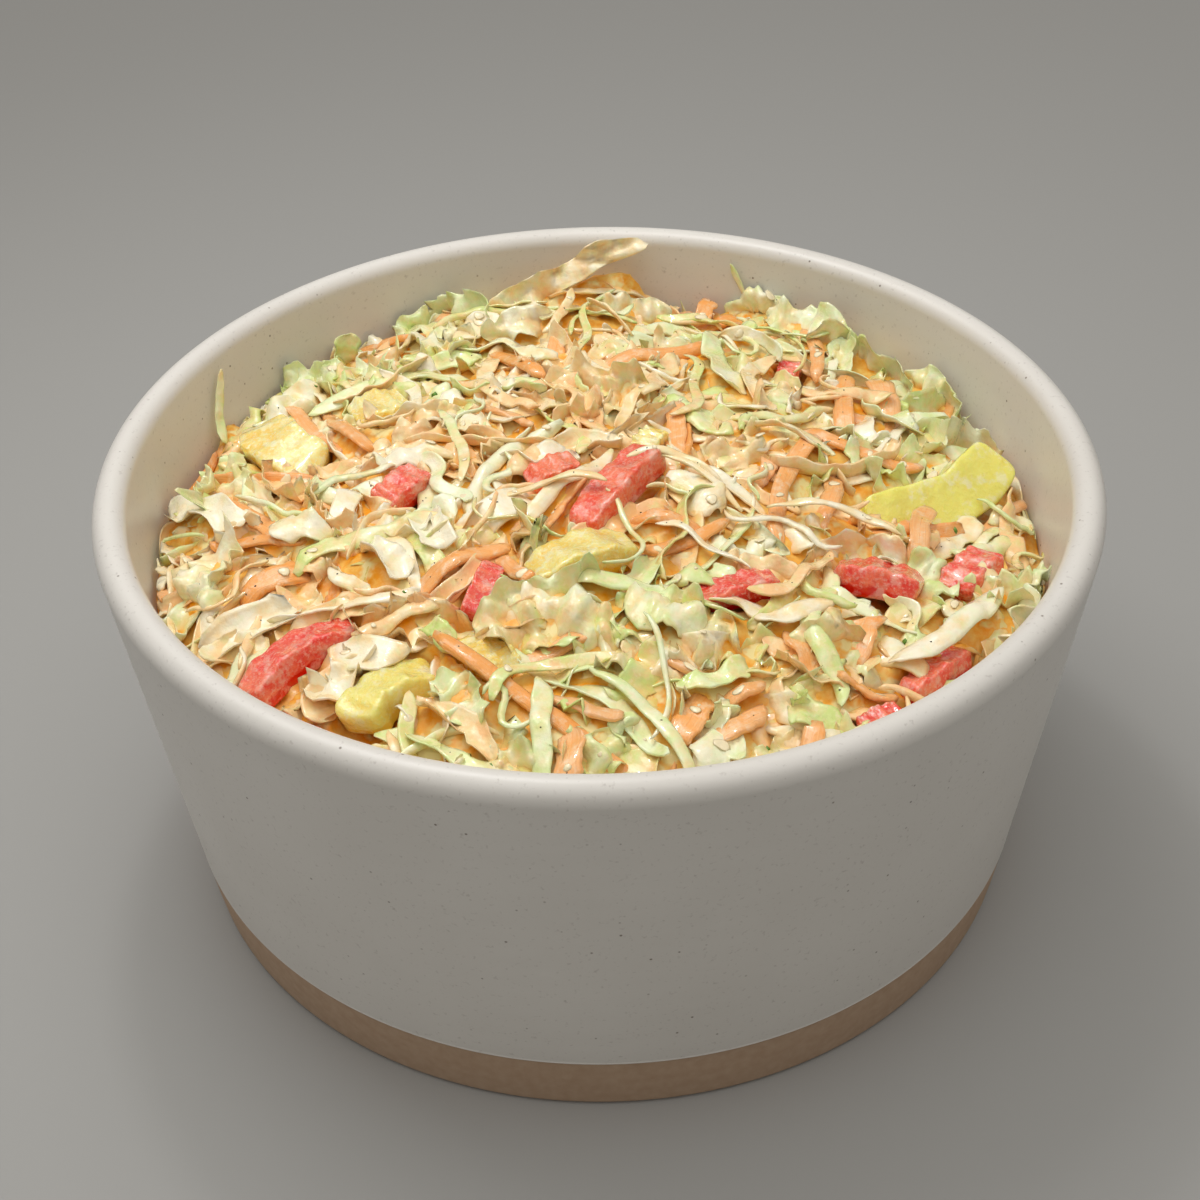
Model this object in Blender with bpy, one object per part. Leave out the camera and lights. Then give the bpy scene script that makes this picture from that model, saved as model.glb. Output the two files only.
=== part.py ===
"""Coleslaw in a straight-sided stoneware bowl.

The bowl stands on z = 0 with its axis on +Z, and the viewer looks along +Y.
The slaw is one heap: a core with cabbage and carrot shreds fused to it.
Each piece of bell pepper that shows lies in a pocket of the heap.
"""

import math
import random

import bmesh
import bpy
from mathutils import Euler, Vector
from mathutils.bvhtree import BVHTree

MM = 0.001
GAP = 0.3 * MM
SEED = 41

# Bowl
SEGMENTS = 64
WALL_SLOPE = math.radians(6.8)
WALL_THICKNESS = 8.0 * MM
LIP_RADIUS = WALL_THICKNESS / 2
LIP_CENTRE_R = 116.0 * MM
RIM_HEIGHT = 111.0 * MM
LIP_CENTRE_Z = RIM_HEIGHT - LIP_RADIUS
GLAZE_LINE_Z = 17.4 * MM
GLAZE_STEP = 0.3 * MM
BAND_BULGE = 0.2 * MM
BASE_ROUNDING = 2.0 * MM
FLOOR_THICKNESS = 8.0 * MM
INNER_CORNER = 18.0 * MM
LIP_STEPS = 6
CORNER_STEPS = 3
BASE_STEPS = 2

# Heap: the bare core lies a little under the shreds that cover it
CORE_CENTRE_Z = 99.0 * MM
CORE_EDGE_Z = 84.5 * MM
CORE_EDGE_R = 109.0 * MM
CORE_RINGS = 7
BUMP = 1.1 * MM
BUMP_SPACING = 31.0 * MM
PEPPER_CLEARANCE = 0.45 * MM
ROOT_DEPTH = 1.6 * MM

# Shreds: angles in degrees, lengths in millimetres, shares of the width
SHRED_SPACING = 5.5
SHRED_ROLL = 28
SHRED_TWIST = 25
SHRED_ARCH = (1.8, 3.6)
END_NARROWING = 0.35
WIDTH_WAVER = 0.16
FREE_END_RISE = 2
CARROT_WAVE = 0.3
CABBAGE_WAVE = 1.0

# Shreds spread by rule: those near the wall run along it
SHREDS_TRIED = 300
SPREAD_RADIUS = 103
WALL_ZONE_RADIUS = 88
WALL_ZONE_TURN = 30
SPREAD_LENGTH = (15, 32)
SPREAD_WIDTH = (3.4, 6.4)
SPREAD_BOW = 4
SPREAD_RISE = 1.8

# How often a piece is moved to find a place, and how many others it may cross there
STANDING_OUT_TRIES = 8
STANDING_OUT_CROSSED = 2
SPREAD_TRIES = 4
SPREAD_CROSSED = 0
SHIFT_TURN = 2.4
SHIFT_STEP = 1.1
SHIFT_INWARD = 0.012

# Pepper pieces: x, y, heading, length, width, thickness, bow, arch, pitch, roll, lift.
# Lengths are in millimetres and angles in degrees. Bow is the bend across the width,
# arch the bend of the broad face, and lift the height of the middle over the bare core.
RED_PEPPERS = [
    (5, -6, 57, 33, 10, 8, 0, 1.5, 6, -12, 2.8),
    (-66, -57, 40, 29, 9, 8, 3, 2.5, 7, -15, 3.0),
    (-65, -77, -29, 20, 7, 6, -1.5, 0, 0, -20, 2.0),
    (-48, 2, 48, 14, 9, 7, 0, 1.0, 8, 0, 2.6),
    (-27, -41, 72, 16, 6, 6, 0, 0.5, 10, 20, 2.6),
    (64, -35, -20, 20, 12, 8, 0, 1.5, 0, -25, 1.2),
    (87, -30, 49, 15, 10, 9, 0, 1.0, 6, -10, 2.6),
    (74, -62, 44, 20, 7, 7, 0, 0.5, 0, -15, 1.6),
    (31, -42, 23, 20, 8, 6, 0, 1.0, 0, -10, 1.6),
    (-11, 3, 25, 13, 8, 6, 0, 1.0, 10, 0, 2.4),
    (52, 60, 70, 9, 6, 5, 0, 0.5, 0, 0, 2.4),
    (60, -77, 30, 11, 6, 5, 0, 0.5, 0, 0, 1.6),
]
YELLOW_PEPPERS = [
    (-79, 32, -50, 26, 15, 8, -3, 2.5, 0, 15, 2.6),
    (-57, 44, 32, 15, 12, 6, 0, 1.5, 0, 0, 2.2),
    (-4, -33.5, 26, 25, 12, 8, 0, 3.0, 0, -8, 2.6),
    (-44.8, -70, 42, 21, 11, 9, 3, 2.0, 0, -12, 1.8),
    (-25, -61, -50, 15, 9, 7, 0, 1.0, 0, 0, 1.8),
    (82, 4.5, 33, 44, 15, 6, -6, 0, 3, 38, 4.6),
    (13, 15, 60, 9, 7, 5, 0, 0.5, 0, 0, 2.4),
]
STATION_SPACING = 5.5
PEPPER_BEVEL = 0.28
PEPPER_DRAW_IN = 0.22

# Carrot shreds that stand out: x, y, heading, length, width, bow, rise of the far end.
CARROT_THICKNESS = 2.4
CARROT_SHREDS = [
    (-14.5, -76.5, 142, 56, 3.6, 1, 7.5),
    (-7, -90, 82, 14, 5.5, 0, 1.0),
    (-88, -4, -45, 36, 4.2, 2, 1.0),
    (-76, -30, 26, 17, 6.0, 1, 0.5),
    (-33, -34, 33, 26, 4.5, 1, 2.0),
    (-65, 37, -63, 34, 4.0, -2, 1.0),
    (-58, 85, -5, 20, 3.2, 1, 1.0),
    (-11, 80, 86, 34, 4.5, -1, 5.0),
    (-22, 60, -60, 28, 4.0, 1, 1.5),
    (16, 62, 20, 34, 3.8, 1, 1.5),
    (31, 96, 66, 17, 4.5, 0, 6.0),
    (36, 92, 26, 22, 4.5, 1, 1.5),
    (20, 22, 88, 22, 4.8, 0, 4.0),
    (15, -19, -19, 16, 3.0, 1, 1.0),
    (49, -2, 71, 46, 4.0, 4, 4.0),
    (66, 38, 84, 40, 5.0, 2, 3.0),
    (75, 42, 87, 26, 7.0, -1, 3.0),
    (55, -6, 73, 22, 5.0, -1, 1.0),
    (77, -18, 77, 26, 5.0, 1, 3.0),
    (58, -54, 67, 13, 7.0, 0, 1.5),
    (19, -80, 61, 14, 6.5, 0, 1.5),
    (29, -82, 31, 14, 5.0, 0, 1.0),
]

# Cabbage shreds that stand out, in the same order.
CABBAGE_THICKNESS = 1.7
CABBAGE_SHREDS = [
    (-15, 104, 8, 60, 6.0, 3, 14.0),
    (48, 98, -32, 26, 4.0, 1, 5.0),
    (-100, 36, -80, 18, 4.0, 0, 11.0),
    (-98, -8, 14, 34, 5.5, 3, 1.0),
    (-34, 97, -40, 34, 6.0, 3, 6.0),
    (70, -50, 34, 44, 5.0, 1, 2.0),
    (25, -4, -35, 36, 3.4, 3, 2.0),
    (36, 56, -80, 48, 4.5, 6, 4.0),
    (-62, -8, 75, 17, 5.0, 0, 2.0),
    (-80, -44, 25, 22, 9.0, 1, 1.0),
    (-54, -58, -12, 20, 8.0, 0, 1.0),
    (-24, -14, 35, 20, 9.0, 0, 3.0),
    (73, 80, 10, 24, 5.0, 3, 3.0),
    (88, 62, -30, 24, 5.0, -3, 4.0),
]

# Leaf pieces: x, y, heading, length, width, pitch, roll, lift.
LEAF_THICKNESS = 1.6
LEAF_STEPS_U = 5
LEAF_STEPS_V = 3
LEAVES = [
    (97, -41, 67, 30, 16, 0, -58, 5.5),
    (-70, 63, -14, 34, 13, 0, 28, 2.5),
    (-12, -52, 20, 32, 18, 0, 24, 4.0),
    (16, -56, -25, 30, 18, 0, 26, 3.0),
    (44, -62, 12, 30, 16, 0, 22, 2.5),
    (62, 84, -34, 26, 15, 0, 34, 3.5),
    (-46, 92, 8, 22, 12, 0, 36, 3.5),
    (-94, 18, -70, 26, 13, 0, 30, 2.5),
    (-40, 30, 30, 28, 16, 0, 24, 3.0),
    (0, 40, -10, 28, 16, 0, 24, 3.0),
    (40, 14, 40, 26, 14, 0, 24, 3.0),
    (-20, -92, 5, 24, 12, 0, 22, 2.0),
]

# Colours as red, green and blue of the bare material
STONEWARE_COLOUR = (0.78, 0.76, 0.71)
CABBAGE_COLOUR = (0.80, 0.79, 0.52)
RED_COLOUR = (0.80, 0.07, 0.04)
YELLOW_COLOUR = (0.80, 0.52, 0.06)


def clear_scene():
    for obj in list(bpy.data.objects):
        bpy.data.objects.remove(obj, do_unlink=True)


def finish_material(name, colour, roughness):
    """A Principled material of one colour."""
    material = bpy.data.materials.new(name)
    material.use_nodes = True
    shader = material.node_tree.nodes["Principled BSDF"]
    shader.inputs["Base Color"].default_value = (*colour, 1.0)
    shader.inputs["Roughness"].default_value = roughness
    shader.inputs["Metallic"].default_value = 0.0
    return material


def add_object(name, bm, material, smooth_angle=None):
    """Puts a bmesh into the scene as a named object."""
    mesh = bpy.data.meshes.new(name)
    bm.to_mesh(mesh)
    bm.free()
    mesh.materials.append(material)
    if smooth_angle is not None:
        mesh.shade_smooth()
        mesh.set_sharp_from_angle(angle=smooth_angle)
    obj = bpy.data.objects.new(name, mesh)
    bpy.context.scene.collection.objects.link(obj)
    return obj


def revolve(profile):
    """Turns a profile of (radius, height) round the Z axis; its ends lie on the axis."""
    bm = bmesh.new()
    verts = [bm.verts.new((r, 0.0, z)) for r, z in profile]
    edges = [bm.edges.new(pair) for pair in zip(verts, verts[1:])]
    bmesh.ops.spin(
        bm,
        geom=verts + edges,
        cent=(0, 0, 0),
        axis=(0, 0, 1),
        angle=2 * math.pi,
        steps=SEGMENTS,
        use_merge=True,
    )
    bmesh.ops.remove_doubles(bm, verts=bm.verts, dist=0.001 * MM)
    bmesh.ops.recalc_face_normals(bm, faces=bm.faces)
    return bm


def inner_radius(z, offset=0.0):
    """The bowl's inner wall radius at height z, offset inwards, above the floor's corner."""
    top_r = LIP_CENTRE_R - (LIP_RADIUS + offset) * math.cos(WALL_SLOPE)
    top_z = LIP_CENTRE_Z + (LIP_RADIUS + offset) * math.sin(WALL_SLOPE)
    return top_r - (top_z - z) * math.tan(WALL_SLOPE)


def corner_profile(offset=0.0):
    """The rounded corner between the inner wall and the floor, from the wall down."""
    radius = INNER_CORNER - offset
    centre_z = FLOOR_THICKNESS + INNER_CORNER
    wall_z = centre_z - radius * math.sin(WALL_SLOPE)
    centre_r = inner_radius(wall_z, offset) - radius * math.cos(WALL_SLOPE)
    points = []
    for step in range(CORNER_STEPS + 1):
        angle = -WALL_SLOPE - (math.pi / 2 - WALL_SLOPE) * step / CORNER_STEPS
        points.append((centre_r + radius * math.cos(angle), centre_z + radius * math.sin(angle)))
    return points


def bowl_profile():
    """From the middle of the underside, out and up the wall, over the lip and down inside."""
    wall_top_r = LIP_CENTRE_R + LIP_RADIUS * math.cos(WALL_SLOPE)
    wall_top_z = LIP_CENTRE_Z - LIP_RADIUS * math.sin(WALL_SLOPE)

    def outer_radius(z):
        return wall_top_r - (wall_top_z - z) * math.tan(WALL_SLOPE)

    points = [(0.0, 0.0)]
    corner_r = outer_radius(BASE_ROUNDING) - GLAZE_STEP - BASE_ROUNDING
    for step in range(BASE_STEPS + 1):
        angle = -math.pi / 2 + math.pi / 2 * step / BASE_STEPS
        points.append(
            (corner_r + BASE_ROUNDING * math.cos(angle), BASE_ROUNDING * (1 + math.sin(angle)))
        )
    band_middle = (BASE_ROUNDING + GLAZE_LINE_Z) / 2
    points.append((outer_radius(band_middle) - GLAZE_STEP + BAND_BULGE, band_middle))
    points.append((outer_radius(GLAZE_LINE_Z) - GLAZE_STEP, GLAZE_LINE_Z - GLAZE_STEP))
    points.append((outer_radius(GLAZE_LINE_Z), GLAZE_LINE_Z))
    for step in range(LIP_STEPS + 1):
        angle = -WALL_SLOPE + math.pi * step / LIP_STEPS
        points.append(
            (
                LIP_CENTRE_R + LIP_RADIUS * math.cos(angle),
                LIP_CENTRE_Z + LIP_RADIUS * math.sin(angle),
            )
        )
    return points + corner_profile() + [(0.0, FLOOR_THICKNESS)]


def make_bowl(material):
    bm = revolve(bowl_profile())
    return add_object("bowl", bm, material, math.radians(35))


def core_height(x, y):
    """The bare heap: a low dome, highest in the middle, with soft uneven bumps."""
    across = min(math.hypot(x, y) / CORE_EDGE_R, 1.0)
    dome = CORE_EDGE_Z + (CORE_CENTRE_Z - CORE_EDGE_Z) * (1 - across**2)
    wave = 2 * math.pi / BUMP_SPACING
    bumps = math.sin(wave * x + 1.7) * math.cos(wave * y * 0.87 + 0.4)
    bumps += 0.6 * math.sin(wave * (0.7 * x + 1.3 * y) + 2.9)
    return dome + BUMP * bumps


def core_mesh():
    """The heap without its shreds, 0.3 mm clear of the bowl all round.

    Its wall has the bowl's own segments, and its top half as many.
    """
    bm = bmesh.new()
    edge_r = inner_radius(CORE_EDGE_Z, GAP)

    def around(count):
        return [(math.cos(2 * math.pi * k / count), math.sin(2 * math.pi * k / count)) for k in range(count)]

    def wall_ring(r, z):
        return [bm.verts.new((r * c, r * s, z)) for c, s in around(SEGMENTS)]

    def top_ring(r):
        return [
            bm.verts.new((r * c, r * s, core_height(r * c, r * s))) for c, s in around(SEGMENTS // 2)
        ]

    def edge_ring():
        # Where the heap touches the wall: radius and height depend on each other
        verts = []
        for c, s in around(SEGMENTS):
            z = CORE_EDGE_Z
            for _ in range(4):
                r = inner_radius(z, GAP)
                z = core_height(r * c, r * s)
            verts.append(bm.verts.new((r * c, r * s, z)))
        return verts

    def join(outer, inner):
        count = len(outer)
        for k in range(count):
            bm.faces.new((outer[k], outer[(k + 1) % count], inner[(k + 1) % count], inner[k]))

    def join_half(outer, inner):
        count = len(inner)
        for k in range(count):
            start, middle, end = outer[2 * k], outer[2 * k + 1], outer[(2 * k + 2) % (2 * count)]
            near, far = inner[k], inner[(k + 1) % count]
            bm.faces.new((start, middle, near))
            bm.faces.new((middle, far, near))
            bm.faces.new((middle, end, far))

    def cap(verts, height):
        centre = bm.verts.new((0, 0, height))
        for k, vert in enumerate(verts):
            bm.faces.new((vert, verts[(k + 1) % len(verts)], centre))

    wall = [wall_ring(r, z) for r, z in reversed(corner_profile(GAP))] + [edge_ring()]
    top = [top_ring(edge_r * math.sqrt(1 - k / CORE_RINGS)) for k in range(1, CORE_RINGS)]
    for lower, upper in zip(wall, wall[1:]):
        join(lower, upper)
    join_half(wall[-1], top[0])
    for outer, inner in zip(top, top[1:]):
        join(outer, inner)
    cap(top[-1], core_height(0, 0))
    cap(wall[0], FLOOR_THICKNESS + GAP)
    bmesh.ops.triangulate(bm, faces=bm.faces)
    bmesh.ops.recalc_face_normals(bm, faces=bm.faces)
    return bm


def tube_bmesh(sections):
    """Joins closed sections of equal count into one solid, each quad split the same way."""
    bm = bmesh.new()
    rows = [[bm.verts.new(point) for point in section] for section in sections]
    count = len(rows[0])
    for low, high in zip(rows, rows[1:]):
        for k in range(count):
            j = (k + 1) % count
            if k % 4 == 2:
                bm.faces.new((low[k], low[j], high[k]))
                bm.faces.new((low[j], high[j], high[k]))
            else:
                bm.faces.new((low[k], low[j], high[j]))
                bm.faces.new((low[k], high[j], high[k]))
    for row in (rows[0], rows[-1]):
        for k in range(1, count - 1):
            bm.faces.new((row[0], row[k], row[k + 1]))
    bmesh.ops.recalc_face_normals(bm, faces=bm.faces)
    return bm


def pepper_bmesh(piece, grow=0.0):
    """A bent stick or slab with bevelled long edges and drawn-in ends."""
    x, y, heading, length, width, thick, bow, arch, pitch, roll, lift = piece
    half_w, half_t = width / 2 + grow, thick / 2 + grow
    bevel = min(width, thick) * PEPPER_BEVEL
    turn = Euler(
        (math.radians(roll), math.radians(-pitch), math.radians(heading)), "XYZ"
    ).to_matrix()
    middle = Vector((x * MM, y * MM, core_height(x * MM, y * MM) + lift * MM))
    outline = [
        (half_w - bevel, -half_t), (half_w, bevel - half_t),
        (half_w, half_t - bevel), (half_w - bevel, half_t),
        (bevel - half_w, half_t), (-half_w, half_t - bevel),
        (-half_w, bevel - half_t), (bevel - half_w, -half_t),
    ]
    stations = max(4, min(7, 1 + round(length / STATION_SPACING)))
    sections = []
    for k in range(stations):
        s = -1 + 2 * k / (stations - 1)
        along = s * (length / 2 + grow)
        draw_in = 1 - PEPPER_DRAW_IN * s**4
        side_slope = math.atan2(-4 * bow * s, length)
        face_slope = math.atan2(-4 * arch * s, length)
        section = []
        for v, w in outline:
            v, w = v * draw_in, w * draw_in
            point = Vector(
                (
                    along - v * math.sin(side_slope) - w * math.sin(face_slope),
                    bow * (1 - s * s) + v * math.cos(side_slope),
                    arch * (1 - s * s) + w * math.cos(face_slope),
                )
            )
            section.append(middle + turn @ (point * MM))
        sections.append(section)
    return tube_bmesh(sections)


def shred_bmesh(rng, piece, thickness, wave):
    """A strip laid over the heap: an arch rooted in the core at its ends.

    The far end can rise free by the piece's last value, and then only the near end is rooted.
    """
    x, y, heading, length, width, bow, rise = piece
    turn = math.radians(heading)
    roll = math.radians(rng.uniform(-SHRED_ROLL, SHRED_ROLL))
    twist = math.radians(rng.uniform(-SHRED_TWIST, SHRED_TWIST))
    phase = rng.uniform(0, 2 * math.pi)
    arch = rng.uniform(*SHRED_ARCH)
    stations = max(5, min(9, 1 + round(length / SHRED_SPACING)))
    root = ROOT_DEPTH / MM
    end_rise = rise + root if rise > FREE_END_RISE else rise
    sections = []
    for k in range(stations):
        s = -1 + 2 * k / (stations - 1)
        side = bow * (1 - s * s) + wave * math.sin(2.6 * s + phase)
        px = x + math.cos(turn) * s * length / 2 - math.sin(turn) * side
        py = y + math.sin(turn) * s * length / 2 + math.cos(turn) * side
        lifted = arch * (1 - s * s) - root * abs(s) ** 3 + end_rise * ((s + 1) / 2) ** 2
        pz = core_height(px * MM, py * MM) / MM + thickness / 2 + lifted
        tilt = roll + twist * s
        half = width / 2 * (1 - END_NARROWING * abs(s) ** 3)
        half *= 1 + WIDTH_WAVER * math.sin(5 * s + phase)
        across = Vector(
            (
                -math.sin(turn) * math.cos(tilt),
                math.cos(turn) * math.cos(tilt),
                math.sin(tilt),
            )
        )
        up = Vector((math.sin(turn) * math.sin(tilt), -math.cos(turn) * math.sin(tilt), math.cos(tilt)))
        centre = Vector((px, py, pz))
        corners = [
            centre - across * half - up * thickness / 2,
            centre + across * half - up * thickness / 2,
            centre + across * half + up * thickness / 2,
            centre - across * half + up * thickness / 2,
        ]
        sections.append([corner * MM for corner in corners])
    return tube_bmesh(sections)


def leaf_bmesh(rng, piece):
    """A thin wavy sheet with a ragged outline; both faces are split into triangles alike."""
    x, y, heading, length, width, pitch, roll, lift = piece
    turn = Euler((math.radians(roll), math.radians(-pitch), math.radians(heading)), "XYZ").to_matrix()
    middle = Vector((x, y, core_height(x * MM, y * MM) / MM + lift))
    phase = rng.uniform(0, 2 * math.pi)
    bm = bmesh.new()
    faces = []
    for side in (1, -1):
        rows = []
        for i in range(LEAF_STEPS_U):
            u = -1 + 2 * i / (LEAF_STEPS_U - 1)
            row = []
            for j in range(LEAF_STEPS_V):
                v = -1 + 2 * j / (LEAF_STEPS_V - 1)
                wave = 1.5 * math.sin(2.4 * u + phase) + 1.1 * v * math.cos(3.1 * u + phase)
                reach = (1 - 0.3 * u * u) * (1 + 0.12 * math.sin(4 * u + 3 * v + phase))
                local = Vector(
                    (u * length / 2, v * width / 2 * reach, wave + side * LEAF_THICKNESS / 2)
                )
                row.append(bm.verts.new((middle + turn @ local) * MM))
            rows.append(row)
        faces.append(rows)
    top, bottom = faces
    for i in range(LEAF_STEPS_U - 1):
        for j in range(LEAF_STEPS_V - 1):
            for rows in (top, bottom):
                a, b = rows[i][j], rows[i + 1][j]
                c, d = rows[i + 1][j + 1], rows[i][j + 1]
                bm.faces.new((a, b, c))
                bm.faces.new((a, c, d))
    last_u, last_v = LEAF_STEPS_U - 1, LEAF_STEPS_V - 1
    border = [(i, 0) for i in range(last_u)] + [(last_u, j) for j in range(last_v)]
    border += [(last_u - i, last_v) for i in range(last_u)] + [(0, last_v - j) for j in range(last_v)]
    for (i, j), (k, m) in zip(border, border[1:] + border[:1]):
        bm.faces.new((top[i][j], top[k][m], bottom[k][m]))
        bm.faces.new((top[i][j], bottom[k][m], bottom[i][j]))
    bmesh.ops.recalc_face_normals(bm, faces=bm.faces)
    return bm


def inside_bowl(bm):
    """Is every corner clear of the inner wall's flat facets, and no higher than the rim?"""
    facet = math.cos(math.pi / SEGMENTS)
    for vert in bm.verts:
        limit = inner_radius(vert.co.z, GAP) * facet
        if math.hypot(vert.co.x, vert.co.y) > limit or vert.co.z > RIM_HEIGHT - GAP:
            return False
    return True


def place_fused(make, piece, blocked, laid, tries, most_crossed):
    """Builds a piece, moved a few millimetres inwards or aside until it clears the
    pepper and the wall and crosses few others. Returns None where no place is found."""
    for attempt in range(tries):
        x, y = piece[0], piece[1]
        angle = attempt * SHIFT_TURN
        shift = attempt * SHIFT_STEP
        inward = 1 - attempt * SHIFT_INWARD
        moved = (x * inward + shift * math.cos(angle), y * inward + shift * math.sin(angle), *piece[2:])
        bm = make(moved)
        tree = BVHTree.FromBMesh(bm)
        clear = inside_bowl(bm) and not any(tree.overlap(other) for other in blocked)
        if clear and sum(bool(tree.overlap(other)) for other in laid) <= most_crossed:
            laid.append(tree)
            return bm
        bm.free()
    return None


def random_shreds(rng):
    """Shreds spread evenly over the heap on a sunflower spiral, longest in the middle."""
    golden = math.pi * (3 - math.sqrt(5))
    pieces = []
    for k in range(SHREDS_TRIED):
        radius = SPREAD_RADIUS * math.sqrt((k + 0.5) / SHREDS_TRIED)
        angle = k * golden
        heading = rng.uniform(0, 180)
        if radius > WALL_ZONE_RADIUS:
            heading = math.degrees(angle) + 90 + rng.uniform(-WALL_ZONE_TURN, WALL_ZONE_TURN)
        pieces.append(
            (
                radius * math.cos(angle),
                radius * math.sin(angle),
                heading,
                rng.uniform(*SPREAD_LENGTH),
                rng.uniform(*SPREAD_WIDTH),
                rng.uniform(-SPREAD_BOW, SPREAD_BOW),
                rng.uniform(0, SPREAD_RISE),
            )
        )
    return pieces


def apply_boolean(target, collection, operation):
    """One Boolean with all of a collection's objects, made real; then they are removed."""
    modifier = target.modifiers.new(operation.lower(), "BOOLEAN")
    modifier.operand_type = "COLLECTION"
    modifier.collection = collection
    modifier.operation = operation
    modifier.solver = "EXACT"
    depsgraph = bpy.context.evaluated_depsgraph_get()
    result = bpy.data.meshes.new_from_object(target.evaluated_get(depsgraph))
    target.modifiers.clear()
    target.data = result
    for obj in list(collection.objects):
        bpy.data.objects.remove(obj, do_unlink=True)
    bpy.data.collections.remove(collection)


def keep_main_body(mesh):
    """Fills sealed hollows and drops loose scraps: only the largest shell stays."""
    bm = bmesh.new()
    bm.from_mesh(mesh)
    bmesh.ops.triangulate(bm, faces=bm.faces)
    unseen = set(bm.verts)
    shells = []
    while unseen:
        stack = [unseen.pop()]
        shell = set(stack)
        while stack:
            for edge in stack.pop().link_edges:
                for vert in edge.verts:
                    if vert in unseen:
                        unseen.discard(vert)
                        shell.add(vert)
                        stack.append(vert)
        shells.append(shell)
    shells.sort(key=len)
    loose = [vert for shell in shells[:-1] for vert in shell]
    bmesh.ops.delete(bm, geom=loose, context="VERTS")
    bm.to_mesh(mesh)
    bm.free()


def fill_collection(name, bmeshes, material):
    collection = bpy.data.collections.new(name)
    bpy.context.scene.collection.children.link(collection)
    for k, bm in enumerate(bmeshes):
        mesh = bpy.data.meshes.new(f"{name}_{k}")
        bm.to_mesh(mesh)
        bm.free()
        mesh.materials.append(material)
        collection.objects.link(bpy.data.objects.new(mesh.name, mesh))
    return collection


def make_peppers(name, pieces, material):
    for number, piece in enumerate(pieces, 1):
        add_object(f"{name}_{number}", pepper_bmesh(piece), material, math.radians(40))


def make_slaw(material):
    """The core with a pocket for each pepper piece, then all shreds and leaves in one union."""
    rng = random.Random(SEED)
    peppers = RED_PEPPERS + YELLOW_PEPPERS
    slaw = add_object("slaw", core_mesh(), material)
    pockets = [pepper_bmesh(piece, GAP / MM) for piece in peppers]
    apply_boolean(slaw, fill_collection("pockets", pockets, material), "DIFFERENCE")

    blocked = [BVHTree.FromBMesh(pepper_bmesh(piece, PEPPER_CLEARANCE / MM)) for piece in peppers]
    laid = []

    def leaf(piece):
        return leaf_bmesh(rng, piece)

    def carrot(piece):
        return shred_bmesh(rng, piece, CARROT_THICKNESS, CARROT_WAVE)

    def cabbage(piece):
        return shred_bmesh(rng, piece, CABBAGE_THICKNESS, CABBAGE_WAVE)

    standing_out = [(leaf, piece) for piece in LEAVES]
    standing_out += [(carrot, piece) for piece in CARROT_SHREDS]
    standing_out += [(cabbage, piece) for piece in CABBAGE_SHREDS]
    fused = [
        place_fused(make, piece, blocked, laid, STANDING_OUT_TRIES, STANDING_OUT_CROSSED)
        for make, piece in standing_out
    ]
    fused += [
        place_fused(cabbage, piece, blocked, laid, SPREAD_TRIES, SPREAD_CROSSED)
        for piece in random_shreds(rng)
    ]
    fused = [bm for bm in fused if bm]
    apply_boolean(slaw, fill_collection("shreds", fused, material), "UNION")
    keep_main_body(slaw.data)
    return slaw


def main():
    clear_scene()
    stoneware = finish_material("stoneware", STONEWARE_COLOUR, 0.45)
    cabbage = finish_material("cabbage", CABBAGE_COLOUR, 0.35)
    red_pepper = finish_material("red_pepper", RED_COLOUR, 0.3)
    yellow_pepper = finish_material("yellow_pepper", YELLOW_COLOUR, 0.3)
    make_bowl(stoneware)
    make_slaw(cabbage)
    make_peppers("red_pepper", RED_PEPPERS, red_pepper)
    make_peppers("yellow_pepper", YELLOW_PEPPERS, yellow_pepper)


main()
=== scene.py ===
import math

import bpy
import numpy as np
from mathutils import Matrix


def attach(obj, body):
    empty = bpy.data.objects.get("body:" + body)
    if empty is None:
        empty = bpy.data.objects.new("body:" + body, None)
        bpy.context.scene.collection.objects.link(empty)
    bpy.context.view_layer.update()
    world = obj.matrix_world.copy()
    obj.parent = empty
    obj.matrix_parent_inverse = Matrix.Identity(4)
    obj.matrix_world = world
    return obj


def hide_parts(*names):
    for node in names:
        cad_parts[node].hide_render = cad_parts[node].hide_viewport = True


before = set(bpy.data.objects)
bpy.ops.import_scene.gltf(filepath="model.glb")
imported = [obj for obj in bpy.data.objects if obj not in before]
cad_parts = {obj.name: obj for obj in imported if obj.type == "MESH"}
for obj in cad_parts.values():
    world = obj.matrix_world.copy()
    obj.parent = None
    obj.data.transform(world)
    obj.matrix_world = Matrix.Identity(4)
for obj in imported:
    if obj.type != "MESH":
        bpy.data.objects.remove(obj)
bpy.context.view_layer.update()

mm = 0.001
rng = np.random.default_rng(7)


def hexToLinear(hexColour):
    # sRGB channel c: c / 12.92 below 0.04045, else ((c + 0.055) / 1.055) ^ 2.4
    value = hexColour.lstrip("#")
    channels = np.array([int(value[k:k + 2], 16) for k in (0, 2, 4)]) / 255
    low = channels / 12.92
    high = ((channels + 0.055) / 1.055) ** 2.4
    return (*np.where(channels < 0.04045, low, high).tolist(), 1.0)


# Camera and light

cameraSet = {
    "place": (0.0, -0.3855, 0.3625),
    "pitchDown": 37.649,
    "yaw": 0.026,
    "roll": -1.227,
    "lens": 57.26,
}

lightSet = {
    "skyColour": "#F6F3EE",
    "skyLow": 0.06,
    "skyHigh": 1.0,
    "floorColour": "#A5A4A1",
    "floorSize": 6,
}
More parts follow.
